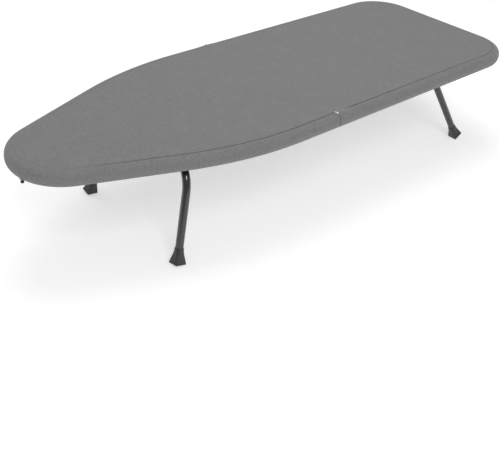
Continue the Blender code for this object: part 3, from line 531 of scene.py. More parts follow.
def heathered_cotton():
    """Plain weave. Over and under follow sin(warp) * sin(weft); warp and weft yarns differ in grey from yarn
    to yarn and along each yarn, and the whole drifts softly from light to dark.
    """
    n = Nodes("heathered grey cotton")
    cloth = n.place(uv=True)
    split = n.new("SeparateXYZ", {"Vector": cloth})
    warp = n.maths("SINE", n.maths("MULTIPLY", split.outputs[0], 2 * np.pi / YARN_PITCH))
    weft = n.maths("SINE", n.maths("MULTIPLY", split.outputs[1], 2 * np.pi / YARN_PITCH))
    over = n.maths("MULTIPLY", warp, weft)
    along = n.noise(n.place((55, 1500, 1), uv=True), 1, 2)
    across = n.noise(n.place((1500, 55, 1), uv=True), 1, 2)
    top_yarn = n.ramp(over, 0, 1)
    top_yarn.node.inputs["From Min"].default_value = -0.4
    top_yarn.node.inputs["From Max"].default_value = 0.4
    mixed = n.new("Mix", {0: top_yarn, 2: along, 3: across}).outputs[0]
    slub = n.noise(n.place((240, 420, 1), uv=True), 1, 3, 0.6)
    drift = n.noise(n.place(uv=True), 26, 3, 0.6)
    yarn = n.maths("ADD", n.maths("MULTIPLY", mixed, 0.62), n.maths("MULTIPLY", slub, 0.38))
    shade = n.maths("MULTIPLY", n.ramp(yarn, 0.045, 0.315), n.ramp(drift, 0.93, 1.07))
    # Painted shade: a point attribute darkens the cotton's colour by up to 45 percent along the groove and
    # beside the slit at the fold, where shade falls.
    crease_shade = n.new("Attribute", attribute_name="crease_shade").outputs["Fac"]
    painted_groove_shade = n.maths("SUBTRACT", 1.0, n.maths("MULTIPLY", crease_shade, 0.45))
    height = n.maths("ADD", n.maths("MULTIPLY", over, 0.5), n.maths("MULTIPLY", yarn, 0.8))
    links = {
        "Base Color": n.grey(n.maths("MULTIPLY", shade, painted_groove_shade), (1, 1, 1.005)),
        "Normal": n.bump(height, 0.14 * MM, 0.7),
    }
    return n.finish(links, roughness=0.88, sheen_weight=0.22, sheen_roughness=0.45, specular_ior_level=0.25)


def cloth_shell(outer, faces, thickness):
    """The outer points and, below them against each point's normal, an inner layer; open edges are joined."""
    faces = np.asarray(faces)
    normal = np.zeros_like(outer)
    for a, b, c in ((0, 1, 2), (0, 2, 3)):
        cross = np.cross(outer[faces[:, b]] - outer[faces[:, a]], outer[faces[:, c]] - outer[faces[:, a]])
        for k in range(4):
            np.add.at(normal, faces[:, k], cross)
    normal /= np.linalg.norm(normal, axis=1)[:, None]
    size = len(outer)
    edges = np.concatenate([faces[:, [k, (k + 1) % 4]] for k in range(4)])
    keys = edges[:, 0] * size + edges[:, 1]
    open_edges = edges[~np.isin(keys, edges[:, 1] * size + edges[:, 0])]
    first, second = open_edges[:, 0], open_edges[:, 1]
    walls = np.column_stack([second, first, first + size, second + size])
    points = np.concatenate([outer, outer - normal * thickness])
    return points, np.concatenate([faces, faces[:, ::-1] + size, walls])


cotton = heathered_cotton()


def make_cover():
    """Rings from cover_rows, then a top whose rings shrink to the lengthwise middle line.

    A top point is the inset-40 ring's point times 1 - t plus its foot on the middle line times t.
    The faces between the two stations at the slit are left out below the groove.
    """
    place, out = whole_outline(4 * MM)
    inset, drop = cover_rows(place)
    flat = place[None] - inset[..., None] * out[None]
    ring = flat[-1]
    spine_reach = half_length - 95 * MM
    middle = np.stack([np.clip(ring[:, 0], -spine_reach, spine_reach), np.zeros(len(ring))], -1)
    share = np.linspace(0, 1, 15)[1:, None, None]
    share = share * np.where(share == 1, 0.995, 1)
    top = ring[None] * (1 - share) + middle[None] * share
    flat_all = np.concatenate([flat, top])
    drop_all = np.concatenate([drop, np.zeros(top.shape[:2])])
    depth = smoothstep(inset_of(flat_all), 14 * MM, 50 * MM)
    pillow = 0.25 * MM * depth * (1 + cloth_wave(flat_all[..., 0], flat_all[..., 1], 110 * MM, 8)) / 2
    points = np.concatenate([flat_all, (top_z - drop_all - pillow)[..., None]], -1)
    rows, stations = points.shape[:2]
    step = np.concatenate([np.zeros((1, stations)), np.linalg.norm(np.diff(points[::-1], axis=0), axis=2)])
    reach = np.cumsum(step, 0)[::-1]
    start = len(inset) - 8
    spread = flat_all.copy()
    spread[:start] = flat_all[start] + out * (reach[:start] - reach[start])[..., None]
    row, station = np.meshgrid(np.arange(rows - 1), np.arange(stations), indexing="ij")
    beside = (station + 1) % stations
    slit = (np.abs(place[station, 0]) < 1.01 * SLIT_HALF) & (np.abs(place[beside, 0]) < 1.01 * SLIT_HALF)
    kept = ~(slit & (row < start - 6))
    quads = np.stack([row * stations + station, row * stations + beside,
                      (row + 1) * stations + beside, (row + 1) * stations + station], -1)[kept]
    last = (rows - 1) * stations
    half = stations // 2
    low = np.arange(half)
    seam = np.column_stack([last + low, last + low + 1, last + (stations - low - 1) % stations,
                            last + (stations - low) % stations])
    seam = seam[(low > 0) & (low < half - 1)]
    tail_end = [last, last + 1, last + stations - 1, last + stations - 1]
    nose_end = [last + half - 1, last + half, last + half + 1, last + half + 1]
    ends = [tail_end, nose_end]
    outer = points.reshape(-1, 3)
    shell, faces = cloth_shell(outer, np.concatenate([quads, seam, ends]), CLOTH_THICKNESS)
    uv = np.tile(spread.reshape(-1, 2), (2, 1))
    face_list = [face[:3] if face[2] == face[3] else face for face in faces.tolist()]
    face_list = [face for face in face_list if len(set(face)) > 2]
    out_faces = turned_out(shell, face_list)
    cover = mesh_object("cover", shell, out_faces, cotton, smooth=60, uv=uv)
    # Painted shade for the groove and the slit: a point attribute, highest at the groove's bottom and beside
    # the slit, that darkens the cotton's colour there.
    bell = np.exp(-(((inset_all(flat_all, inset) - GROOVE_INSET) / (0.8 * GROOVE_WIDTH)) ** 2))
    crease_shade = bell * groove_share(flat_all[..., 0], flat_all[..., 1]) * (np.arange(rows) >= 18)[:, None]
    near_slit = np.exp(-(flat_all[..., 0] / (1.1 * MM)) ** 2) * (np.arange(rows) < start - 5)[:, None]
    crease_shade = np.maximum(crease_shade, near_slit)
    attribute = cover.data.attributes.new("crease_shade", "FLOAT", "POINT")
    attribute.data.foreach_set("value", np.tile(crease_shade.ravel(), 2).astype(np.float32))
    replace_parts(cover, "nose_cover", "tail_cover")
    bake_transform(cover)
    return cover


def inset_of(points):
    """Distance in from the long sides, as a share of the cover's softness: half width less |y|."""
    return half_width - np.abs(points[..., 1])


def inset_all(points, inset):
    """The rows' own insets, and a large inset for the rows of the top."""
    return np.concatenate([inset, np.full((len(points) - len(inset), inset.shape[1]), 1.0)])


cover = make_cover()


# Hem. The cover's lower edge, turned over and sewn as a channel for the drawcord. Drawn tight, it puckers
# under the rim, most where the outline curves.

HEM_WIDTH = 16 * MM
HEM_WIDTH_NOSE = 20 * MM
HEM_DROP = 20.9 * MM
CHANNEL_RADIUS = 1.6 * MM


def make_hem(name, half):
    """A ribbon from inset 10 mm to the hem's width, closed over a channel, along one half of the outline.

    Puckers lift and swing it by sines of the distance along the edge whose pitch and height wander.
    """
    place, out = right_outline(1.5 * MM)
    chosen = half * place[:, 0] > SLIT_HALF * 0.9
    place, out = place[chosen], out[chosen]
    mirror = np.array([1, -1])
    order = slice(None, None, -1) if half > 0 else slice(None)
    right_place, right_out = place[order], out[order]
    left_place, left_out = right_place[::-1] * mirror, right_out[::-1] * mirror
    place = np.concatenate([right_place, left_place[1:]])
    out = np.concatenate([right_out, left_out[1:]])
    run = np.concatenate([[0], np.cumsum(np.linalg.norm(np.diff(place, axis=0), axis=1))])
    turn = np.abs(np.gradient(np.unwrap(np.arctan2(out[:, 1], out[:, 0])), run))
    curved = np.convolve(np.clip(turn * 66 * MM, 0, 1), np.ones(21) / 21, "same")
    random = np.random.default_rng(11 if half < 0 else 12)
    pitch = 6.2 * MM * (1 + 0.25 * np.interp(run, np.linspace(0, run[-1], 60), random.uniform(-1, 1, 60)))
    phase = 2 * np.pi * np.cumsum(np.gradient(run) / pitch)
    height = np.interp(run, np.linspace(0, run[-1], 120), random.uniform(0.35, 1, 120))
    pucker = np.sin(phase) * height * (0.3 + 0.7 * curved)
    width = HEM_WIDTH + (HEM_WIDTH_NOSE - HEM_WIDTH) * smoothstep(-place[:, 0], 330 * MM, 372 * MM)
    width = width - 0.5 * MM * np.cos(phase) * height * (0.3 + 0.7 * curved)
    share = np.array([0, 0.25, 0.5, 0.72])
    t = np.radians(np.linspace(215, -35, 9))
    ribbon_low = np.stack([share, np.full(4, 0.45 * MM), np.zeros(4)], -1)
    ribbon_high = ribbon_low[::-1] * (1, -1, 1)
    quarter = t - np.pi / 2
    channel = np.stack([np.ones(9), -CHANNEL_RADIUS * np.sin(quarter), CHANNEL_RADIUS * np.cos(quarter)], -1)
    section = np.concatenate([ribbon_low, channel, ribbon_high])
    start = 10.4 * MM
    inset = start + section[None, :, 0] * (width[:, None] - CHANNEL_RADIUS - start) + section[None, :, 2]
    wave = smoothstep(inset, 11 * MM, 15 * MM) * pucker[:, None] * 0.62 * MM
    drop = HEM_DROP + section[None, :, 1] + wave
    flat = place[:, None] - inset[..., None] * out[:, None]
    rings = np.concatenate([flat, (top_z - drop)[..., None]], -1)
    points = rings.reshape(-1, 3)
    faces = turned_out(points, ring_faces(len(rings), rings.shape[1], False))
    uv = (place[:, None] - inset[..., None] * out[:, None] + 0 * inset[..., None]).reshape(-1, 2)
    body = "nose_half" if half < 0 else "tail_half"
    return mesh_object(name, points, faces, cotton, body, 60, uv)


hems = [make_hem("nose_hem", -1), make_hem("tail_hem", 1)]
outline_place, _ = whole_outline(4 * MM)


# Padding. Two slabs of white needled felt, 8 mm thick, laid on the mesh under the cover. Each is swelled a
# little by a cloth simulation, so that its faces and edges are soft.

FELT_VOXEL = 5 * MM
FELT_STEPS = 16
FELT_PRESSURE = 4.0
FELT_SWELL_FLAT = 0.2 * MM
FELT_SHRINK = 0.25 * MM
RIM_SIDE = 17.9 * MM


def needled_felt():
    """Felt: matted fibres as two stretched noises crossing each other, over a slow drift of grey."""
    n = Nodes("white needled felt")
    one = n.noise(n.place((900, 260, 600)), 1, 4, 0.65)
    two = n.noise(n.place((260, 900, 600)), 1, 4, 0.65)
    fibre = n.maths("MAXIMUM", one, two)
    drift = n.noise(n.place(), 35, 3)
    shade = n.maths("MULTIPLY", n.ramp(fibre, 0.5, 0.92), n.ramp(drift, 0.9, 1.08))
    links = {"Base Color": n.grey(shade, (1, 1, 0.985)), "Normal": n.bump(fibre, 0.35 * MM, 0.8)}
    return n.finish(links, roughness=0.95, sheen_weight=0.3, specular_ior_level=0.2)


felt = needled_felt()


def half_outline(half, inset, fold_gap, spacing):
    """One half board's closed outline at an inset, from the left end of the fold round to its right end."""
    place, out = right_outline(spacing)
    flat = place - inset * out
    flat = flat[half * place[:, 0] > 5 * MM]
    flat = flat if half < 0 else flat[::-1]
    flat = np.concatenate([[[half * fold_gap, half_width - inset]], flat])
    mirror = np.array([1, -1])
    return np.concatenate([flat, flat[-2::-1] * mirror])


def swell(obj, flat_limit):
    """Remesh, inflate as cloth without gravity, and keep every point within flat_limit of its start."""
    remesh = obj.modifiers.new("remesh", "REMESH")
    remesh.mode, remesh.voxel_size = "VOXEL", FELT_VOXEL
    keep_evaluated(obj)
    before = vertex_places(obj)
    cloth = obj.modifiers.new("cloth", "CLOTH")
    cloth.settings.use_pressure = True
    cloth.settings.uniform_pressure_force = FELT_PRESSURE
    cloth.settings.effector_weights.gravity = 0
    cloth.point_cache.frame_end = FELT_STEPS
    for step in range(1, FELT_STEPS + 1):
        bpy.context.scene.frame_set(step)
    keep_evaluated(obj)
    bpy.context.scene.frame_set(1)
    moved = vertex_places(obj) - before
    length = np.linalg.norm(moved, axis=1)[:, None]
    moved *= np.minimum(1, flat_limit / np.maximum(length, 1e-9))
    obj.data.vertices.foreach_set("co", (before + moved).astype(np.float32).ravel())
    obj.data.update()


def vertex_places(obj):
    places = np.zeros(len(obj.data.vertices) * 3, np.float32)
    obj.data.vertices.foreach_get("co", places)
    return places.reshape(-1, 3).astype(float)


def keep_evaluated(obj):
    """Puts what the modifiers make into the object's own mesh, and clears them."""
    bpy.context.view_layer.update()
    made = bpy.data.meshes.new_from_object(obj.evaluated_get(bpy.context.evaluated_depsgraph_get()))
    obj.modifiers.clear()
    obj.data = made
    if not made.materials:
        made.materials.append(felt)


def make_pad(prefix, half):
    """A slab between two levels with rounded edges, a hair under its space so that it has room to swell."""
    low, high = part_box(prefix + "_pad")
    start = FELT_SHRINK
    base, crown = low.z + start, high.z - start
    rise = 1.2 * MM
    ends = [(base, 1.6 * MM), (base + rise, 0), (crown - rise, 0), (crown, 1.6 * MM)]
    inset = RIM_SIDE + start
    rings = []
    for z, ease in ends:
        flat = half_outline(half, inset + ease, 0.8 * MM, 8 * MM)
        rings.append(np.column_stack([flat, np.full(len(flat), z)]))
    pad = skin(prefix + "_felt", np.array(rings), felt, smooth=80)
    swell(pad, FELT_SWELL_FLAT)
    pad.data.shade_smooth()
    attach(pad, prefix + "_half")
    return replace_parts(pad, prefix + "_pad")


make_pad("nose", -1)
make_pad("tail", 1)


# Mesh. Expanded steel sheet welded into the rim, in black powder coat. Its strands zigzag across the board
# and meet their neighbours at the knuckles, which makes long diamonds.

DIAMOND_LONG = 22.3 * MM
DIAMOND_SHORT = 12.7 * MM
STRAND_WIDTH = 1.9 * MM
STRAND_KNUCKLE = 0.9


def powder_coat(name, low, high, gloss, peel=1.0):
    """Gloss powder coat: orange peel in two sizes, and a grey and a gloss that hardly vary."""
    n = Nodes(name)
    fine = n.noise(n.place(), 700, 2)
    broad = n.noise(n.place(), 190, 2)
    peel_height = n.maths("ADD", n.maths("MULTIPLY", fine, 0.35), broad)
    links = {
        "Base Color": n.grey(n.ramp(n.noise(n.place(), 80), low, high), (1, 1, 1.01)),
        "Roughness": n.ramp(n.noise(n.place(), 320, 3), gloss - 0.06, gloss + 0.08),
        "Normal": n.bump(peel_height, 0.12 * MM, 0.25 * peel),
    }
    return n.finish(links, specular_ior_level=0.6, coat_weight=0.6, coat_roughness=0.12)


black_coat = powder_coat("black powder coat", 0.008, 0.016, 0.28)
mesh_coat = powder_coat("black mesh coat", 0.012, 0.024, 0.42, 0.6)


def make_mesh(prefix, half):
    """Strand k zigzags about x = k s / 2 by s / 4 times a softened triangle wave of y, flipped on odd ones.

    Each ring of a strand is an octagon, w wide and as thick as the sheet, tilted at the knuckles.
    """
    low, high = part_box(prefix + "_mesh")
    thick = high.z - low.z
    pitch = DIAMOND_SHORT / 2
    edge, out = right_outline(2 * MM)
    edge = edge - RIM_SIDE * out
    count = int((high.x - low.x) / pitch)
    first = -high.x if half < 0 else low.x
    centre = half * (first + pitch * (np.arange(count) + 0.5))
    order = np.argsort(edge[:, 0])
    edge_x, edge_y = edge[order, 0], edge[order, 1]
    reach = [np.interp(centre + d, edge_x, edge_y, left=0, right=0) for d in (-pitch / 2, 0, pitch / 2)]
    reach = np.minimum.reduce(reach) - 0.3 * MM
    centre, reach = centre[reach > 8 * MM], reach[reach > 8 * MM]
    steps = 12 * int(2 * half_width / DIAMOND_LONG)
    y = reach[:, None] * np.linspace(-1, 1, steps + 1)[None]
    phase = 2 * np.pi * y / DIAMOND_LONG
    wave = np.arcsin(0.985 * np.sin(phase)) / np.arcsin(0.985)
    flip = np.where(np.arange(len(centre)) % 2, 1, -1)[:, None]
    x = centre[:, None] + flip * wave * (pitch / 2 - STRAND_KNUCKLE * STRAND_WIDTH / 2 + 0.4 * MM)
    slope = np.gradient(x, axis=1) / np.gradient(y, axis=1)
    side = np.stack([np.ones_like(slope), -slope], -1) / np.sqrt(1 + slope**2)[..., None]
    t = np.radians(np.arange(8) * 45 + 22.5)
    wide = np.sign(np.cos(t)) * np.abs(np.cos(t)) ** 0.6
    tall = np.sign(np.sin(t)) * np.abs(np.sin(t)) ** 0.6
    middle = (low.z + high.z) / 2
    tilt = 0.18 * wave[..., None] * flip[..., None]
    z = middle + thick / 2 * (tall[None, None] * 0.8 + tilt * wide[None, None])
    half_strand = (STRAND_WIDTH / 2 * wide)[None, None, :, None]
    flat = np.stack([x, y], -1)[:, :, None] + side[:, :, None] * half_strand
    points = np.concatenate([flat, z[..., None]], -1)
    per = points.shape[1] * 8
    one = np.array([face for face in ring_faces(points.shape[1], 8, False) if len(face) == 4])
    caps = np.array([face for face in ring_faces(points.shape[1], 8, False) if len(face) == 8])
    shift = (np.arange(len(centre)) * per)[:, None, None]
    quads = (one[None] + shift).reshape(-1, 4)
    ends = (caps[None] + shift).reshape(-1, 8)
    flat_points = points.reshape(-1, 3)
    faces = turned_out(flat_points, quads.tolist() + ends.tolist())
    body = prefix + "_half"
    mesh = mesh_object(prefix + "_expanded_mesh", flat_points, faces, mesh_coat, body, 50)
    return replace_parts(mesh, prefix + "_mesh")


make_mesh("nose", -1)
make_mesh("tail", 1)


# Rim. Round steel tube of 16 mm bent to the outline of each half, its ends open at the fold for the hinge
# plates. The cover's skirt rolls over it.

RIM_WALL = 1.2 * MM


def make_rim(prefix, half):
    low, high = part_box(prefix + "_rim")
    radius = (high.z - low.z) / 2
    flat = half_outline(half, half_width - high.y + radius, min(abs(low.x), abs(high.x)), 7 * MM)
    path = np.column_stack([flat, np.full(len(flat), (low.z + high.z) / 2)])
    body = prefix + "_half"
    rim = pipe(prefix + "_rim_tube", path, (0, 0, 1), radius, RIM_WALL, 24, black_coat, body)
    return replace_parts(rim, prefix + "_rim")


make_rim("nose", -1)
make_rim("tail", 1)


# Rails and end bars. Two 8.5 mm tubes run the length of each half under the mesh, and a flat bar closes
# the mesh at the fold. All are welded to the rim and powder coated black.

RAIL_WALL = 1 * MM
BAR_EASE = 0.4 * MM


def block(name, low, high, ease, material, body, smooth=35):
    """A bar with its long edges eased: eight-cornered level outlines at four heights."""
    low, high = np.array(low), np.array(high)
    centre, half = (low + high) / 2, (high - low) / 2
    rows = []
    for z, pull in ((-1, ease), (-1, 0), (1, 0), (1, ease)):
        height = centre[2] + z * (half[2] - (0 if pull else ease))
        hx, hy = half[0] - pull, half[1] - pull
        corner_x, corner_y = hx - ease, hy - ease
        outline = [(hx, -corner_y), (hx, corner_y), (corner_x, hy), (-corner_x, hy),
                   (-hx, corner_y), (-hx, -corner_y), (-corner_x, -hy), (corner_x, -hy)]
        rows.append([(centre[0] + x, centre[1] + y, height) for x, y in outline])
    return skin(name, np.array(rows), material, body, smooth=smooth)


for prefix in ("nose", "tail"):
    body = prefix + "_half"
    low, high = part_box(prefix + "_end_bar")
    bar = block(prefix + "_fold_bar", low, high, BAR_EASE, black_coat, body)
    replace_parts(bar, prefix + "_end_bar")
    for side in ("left", "right"):
        node = f"{prefix}_rail_{side}"
        low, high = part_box(node)
        y, z, radius = (low.y + high.y) / 2, (low.z + high.z) / 2, (high.z - low.z) / 2
        ends = np.array([(x, y, z) for x in np.linspace(low.x, high.x, 12)])
        rail = pipe(f"{prefix}_rail_tube_{side}", ends, (0, 0, 1), radius, RAIL_WALL, 28, black_coat, body)
        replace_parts(rail, node)


# Lock sleeves. Dark grey plastic tubes on the nose rails that slide across the fold to hold the board open.
# Each has a grip bead at both ends and shallow finger rings.

dark_plastic = grained_plastic("dark grey plastic", 0.035, 0.055, 0.4)
SLEEVE_WALL = 0.65 * MM
BEAD = 0.35 * MM
FINGER_RING_PITCH = 2.4 * MM

for side in ("left", "right"):
    node = f"lock_sleeve_{side}"
    low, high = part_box(node)
    y, z, radius = (low.y + high.y) / 2, (low.z + high.z) / 2, (high.z - low.z) / 2
    x = np.linspace(low.x, high.x, 90)
    end_gap = np.minimum(x - low.x, high.x - x)
    bead = np.exp(-((end_gap - 1.6 * MM) / (0.9 * MM)) ** 2)
    ripple = 0.5 + 0.5 * np.cos(2 * np.pi * (x - low.x) / FINGER_RING_PITCH)
    rings_share = smoothstep(end_gap, 8 * MM, 10 * MM) * ripple
    outer = radius - BEAD + BEAD * np.maximum(bead, 0.6 * rings_share)
    path = np.column_stack([x, np.full(90, y), np.full(90, z)])
    outside = circles(path, (0, 0, 1), outer, 32)
    inside = circles(path, (0, 0, 1), radius - SLEEVE_WALL, 32)[::-1]
    sleeve = skin(f"slide_sleeve_{side}", np.concatenate([outside, inside]), dark_plastic, f"sleeve_{side}",
                  looped=True)
    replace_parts(sleeve, node)


# Fold hinges. A flat zinc-plated plate runs into each rim end, two to a side, on one riveted pin whose
# axis lies level with the ironing surface, so that the halves close flat on each other.

pin_low, pin_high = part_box("hinge_pin_left")
PIVOT_Z = (pin_low.z + pin_high.z) / 2
EYE_RADIUS = 1.55 * MM
PIN_RADIUS = 0.95 * MM
PIN_HEAD_RADIUS = 1.45 * MM
PIN_HEAD = 0.5 * MM
PIN_EASE_RADIUS = 1.15 * MM
PIN_CROWN_RADIUS = 0.7 * MM
PIN_EASE = 0.15 * MM
TONGUE_HEIGHT = 10 * MM
TONGUE_EASE = 1 * MM
NECK_RISE = 1.5 * MM
NECK_REACH = 1.2 * MM
PLATE_EASE = 0.25 * MM


def bright_metal(name, low, high, gloss, spangle, drawn=(1, 1, 1)):
    """Bright plated metal: cell noise for the plating's grain, and roughness streaks along the drawing."""
    n = Nodes(name)
    cell = n.new("TexVoronoi", {"Vector": n.place(), "Scale": spangle}).outputs["Color"]
    cell = n.new("SeparateColor", {"Color": cell}).outputs[0]
    streak = n.noise(n.place(drawn), 900, 3)
    shade = n.maths("MULTIPLY", n.ramp(cell, low, high), n.ramp(streak, 0.94, 1.04))
    links = {
        "Base Color": n.grey(shade, (1, 1, 1.02)),
        "Roughness": n.ramp(streak, gloss - 0.05, gloss + 0.1),
        "Normal": n.bump(streak, 0.03 * MM, 0.4),
    }
    return n.finish(links, metallic=1.0)


zinc = bright_metal("bright zinc", 0.62, 0.78, 0.24, 700)
chrome = bright_metal("chromed wire", 0.74, 0.82, 0.09, 160, (1, 0.15, 1))


def hinge_plate(prefix, side, half):
    """The plate's outline in x and z is its tongue's two long sides and a half circle over the pin.

    Rings of it at four depths across its thickness ease its edges.
    """
    node = f"{prefix}_hinge_plate_{side}"
    low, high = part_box(node)
    reach = max(abs(low.x), abs(high.x))
    tongue_top = low.z + TONGUE_HEIGHT
    t = np.linspace(np.pi, 0, 17)
    knuckle = np.column_stack([EYE_RADIUS * np.cos(t), PIVOT_Z + EYE_RADIUS * np.sin(t)])
    neck = np.array([[EYE_RADIUS, tongue_top + NECK_RISE], [EYE_RADIUS + NECK_REACH, tongue_top]])
    eased = reach - TONGUE_EASE
    tongue = np.array([[eased, tongue_top], [reach, tongue_top - TONGUE_EASE], [reach, low.z + TONGUE_EASE],
                       [eased, low.z]])
    outline = np.concatenate([[[-EYE_RADIUS, low.z]], knuckle, neck, tongue])
    outline[:, 0] *= half
    centre = outline.mean(0)
    rings = []
    ends = ((low.y, PLATE_EASE), (low.y + PLATE_EASE, 0), (high.y - PLATE_EASE, 0), (high.y, PLATE_EASE))
    for y, pull in ends:
        inward = centre - outline
        inward /= np.linalg.norm(inward, axis=1)[:, None]
        flat = outline + inward * pull
        rings.append(np.column_stack([flat[:, 0], np.full(len(flat), y), flat[:, 1]]))
    plate = skin(f"{prefix}_hinge_leaf_{side}", np.array(rings), zinc, prefix + "_half")
    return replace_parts(plate, node)


for side in ("left", "right"):
    hinge_plate("nose", side, -1)
    hinge_plate("tail", side, 1)
    low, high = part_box(f"hinge_pin_{side}")
    reach = high.y - low.y
    near_end = [(0, PIN_CROWN_RADIUS), (PIN_EASE, PIN_EASE_RADIUS), (2 * PIN_EASE, PIN_HEAD_RADIUS),
                (PIN_HEAD, PIN_HEAD_RADIUS), (PIN_HEAD, PIN_RADIUS)]
    profile = near_end + [(reach - along, radius) for along, radius in reversed(near_end)]
    pin = turned(f"fold_pin_{side}", (0, low.y, PIVOT_Z), (0, 1, 0), profile, 24, zinc, "nose_half")
    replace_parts(pin, f"hinge_pin_{side}")


# Leg saddles. Pressed steel plates riveted under both rails. The leg's cross tube turns in the arch, and a
# slot in the arch stops the leg's pin at both ends of its travel. Four domed rivets hold each plate.

SADDLE_THICKNESS = 1.5 * MM
PRESS_RADIUS = 1.6 * MM
SADDLE_RIM = 0.4 * MM
SADDLE_EASE = 0.3 * MM
SLOT_PLAY = 0.3 * MM
SLOT_END_TURN = 13


def arc_points(centre, radius, start, end, steps):
    """Points of an arc, angles in degrees."""
    t = np.radians(np.linspace(start, end, steps))
    return np.column_stack([centre[0] + radius * np.cos(t), centre[1] + radius * np.sin(t)])


def make_saddle(prefix):
    """A hat section of even thickness carried across the board: flange, press radius, arch, and back.

    Where the stop slot runs, the strip between its edges is left out of the arch and walled in.
    """
    low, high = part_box(prefix + "_saddle")
    pivot = leg_pivot(prefix)
    top = high.z
    outer = pivot[1] - low.z
    bore = outer - SADDLE_THICKNESS
    half = (high.x - low.x) / 2
    thick = SADDLE_THICKNESS
    x0 = pivot[0]
    level = top - thick / 2
    radius = bore + thick / 2
    left = np.array([[x0 - half, level], [x0 - radius - 3 * PRESS_RADIUS, level]])
    bend_left = arc_points((x0 - radius - PRESS_RADIUS, level - PRESS_RADIUS), PRESS_RADIUS, 90, 0, 7)
    hat = arc_points(pivot, radius, 180, 360, 41)
    hat = hat[hat[:, 1] < level - PRESS_RADIUS - 0.2 * MM]
    bend_right = arc_points((x0 + radius + PRESS_RADIUS, level - PRESS_RADIUS), PRESS_RADIUS, 180, 90, 7)
    right = np.array([[x0 + radius + 3 * PRESS_RADIUS, level], [x0 + half, level]])
    middle = np.concatenate([left, bend_left, hat, bend_right, right])
    ahead = path_frames(np.column_stack([middle, np.zeros(len(middle))]))[:, :2]
    square = np.column_stack([-ahead[:, 1], ahead[:, 0]])
    slot_half = (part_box(prefix + "_stop_pin")[1].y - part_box(prefix + "_stop_pin")[0].y) / 2 + SLOT_PLAY
    slot_turn = np.degrees(np.pi / 2 + LEG_LEAN[prefix]) / 2 + SLOT_END_TURN
    angle = np.degrees(np.arctan2(middle[:, 0] - x0, pivot[1] - middle[:, 1]))
    open_here = (np.abs(angle) < slot_turn) & (middle[:, 1] < level - PRESS_RADIUS)
    rim_low, rim_high = low.y + SADDLE_RIM, high.y - SADDLE_RIM
    ys = np.array([low.y, rim_low, -slot_half, slot_half, rim_high, high.y])
    eases = np.array([SADDLE_EASE, 0, 0, 0, 0, SADDLE_EASE])
    rows = []
    for sign in (1, -1):
        for y, ease in zip(ys, eases):
            offset = middle + square * sign * (thick / 2 - ease)
            rows.append(np.column_stack([offset[:, 0], np.full(len(middle), y), offset[:, 1]]))
    rows = np.array(rows)
    n_y, n_s = len(ys), len(middle)
    points = rows.reshape(-1, 3)

    def at(layer, y, s):
        return (layer * n_y + y) * n_s + s

    faces = []
    for s in range(n_s - 1):
        gone = open_here[s] and open_here[s + 1]
        for y in range(n_y - 1):
            if gone and y == 2:
                continue
            faces.append([at(0, y, s), at(0, y, s + 1), at(0, y + 1, s + 1), at(0, y + 1, s)])
            faces.append([at(1, y + 1, s), at(1, y + 1, s + 1), at(1, y, s + 1), at(1, y, s)])
    faces = np.array(faces)
    edges = np.concatenate([faces[:, [k, (k + 1) % 4]] for k in range(4)])
    size = len(points)
    open_edges = edges[~np.isin(edges[:, 0] * size + edges[:, 1], edges[:, 1] * size + edges[:, 0])]
    upper = open_edges[open_edges[:, 0] < n_y * n_s]
    walls = np.column_stack([upper[:, 1], upper[:, 0], upper[:, 0] + n_y * n_s, upper[:, 1] + n_y * n_s])
    face_list = turned_out(points, np.concatenate([faces, walls]).tolist())
    body = prefix + "_half"
    saddle = mesh_object(prefix + "_leg_saddle", points, face_list, black_coat, body, 35)
    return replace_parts(saddle, prefix + "_saddle")


def leg_pivot(prefix):
    """The leg's axis as (x, z): the middle of its saddle, and the middle of its cross tube."""
    saddle_low, saddle_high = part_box(prefix + "_saddle")
    leg_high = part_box(prefix + "_leg")[1].z
    return (saddle_low.x + saddle_high.x) / 2, leg_high - LEG_RADIUS


def domed_rivet(node, name, head_radius, head_height):
    """A dome under the plate, a shank and a pressed tail. The dome's height is 0.8 h (1 - sqrt(1 - s^2)) at
    share s of the head's radius.
    """
    low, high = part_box(node)
    x, y = (low.x + high.x) / 2, (low.y + high.y) / 2
    share = np.linspace(0.12, 1, 12)
    dome = [(head_height * (1 - np.sqrt(max(0, 1 - s * s))) * 0.8, head_radius * s) for s in share]
    length = high.z - low.z
    tail = length - RIVET_TAIL
    profile = dome + [(head_height, head_radius), (head_height, RIVET_SHANK), (tail, RIVET_SHANK),
                      (tail, RIVET_TAIL_RADIUS), (length - RIVET_TAIL_EASE, RIVET_TAIL_RADIUS),
                      (length, RIVET_TAIL_END)]
    body = "nose_half" if "nose" in node else "tail_half"
    rivet = turned(name, (x, y, low.z), (0, 0, 1), profile, 32, zinc, body)
    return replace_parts(rivet, node)


LEG_RADIUS = 5.5 * MM
LEG_WALL = 1 * MM
LEG_LEAN = {"nose": np.radians(16), "tail": np.radians(29)}
RIVET_HEAD = (4.5 * MM, 2.6 * MM)
RIVET_SHANK = 2 * MM
RIVET_TAIL = 1.1 * MM
RIVET_TAIL_RADIUS = 3.2 * MM
RIVET_TAIL_EASE = 0.3 * MM
RIVET_TAIL_END = 2.8 * MM

for prefix in ("nose", "tail"):
    make_saddle(prefix)
    for side in ("left", "right"):
        for place in ("inner", "outer"):
            name = f"{prefix}_saddle_rivet_{side}_{place}"
            domed_rivet(f"{prefix}_rivet_{side}_{place}", name, *RIVET_HEAD)


# Legs. U-shaped 11 mm steel tubes in gloss black powder coat, hinged in the saddles, feet on their ends.

LEG_BEND_RADIUS = 49 * MM
LEG_SPLAY = np.radians(9)
FOOT_SPREAD = 109 * MM
FOOT_HALF = 8.5 * MM
FOOT_NECK = 6.0 * MM
FOOT_BASE = 5 * MM
FOOT_LAND_DEPTH = 2.4 * MM
FOOT_LENGTH = 22 * MM


gloss_paint = powder_coat("gloss black leg paint", 0.0035, 0.007, 0.13, 0.35)


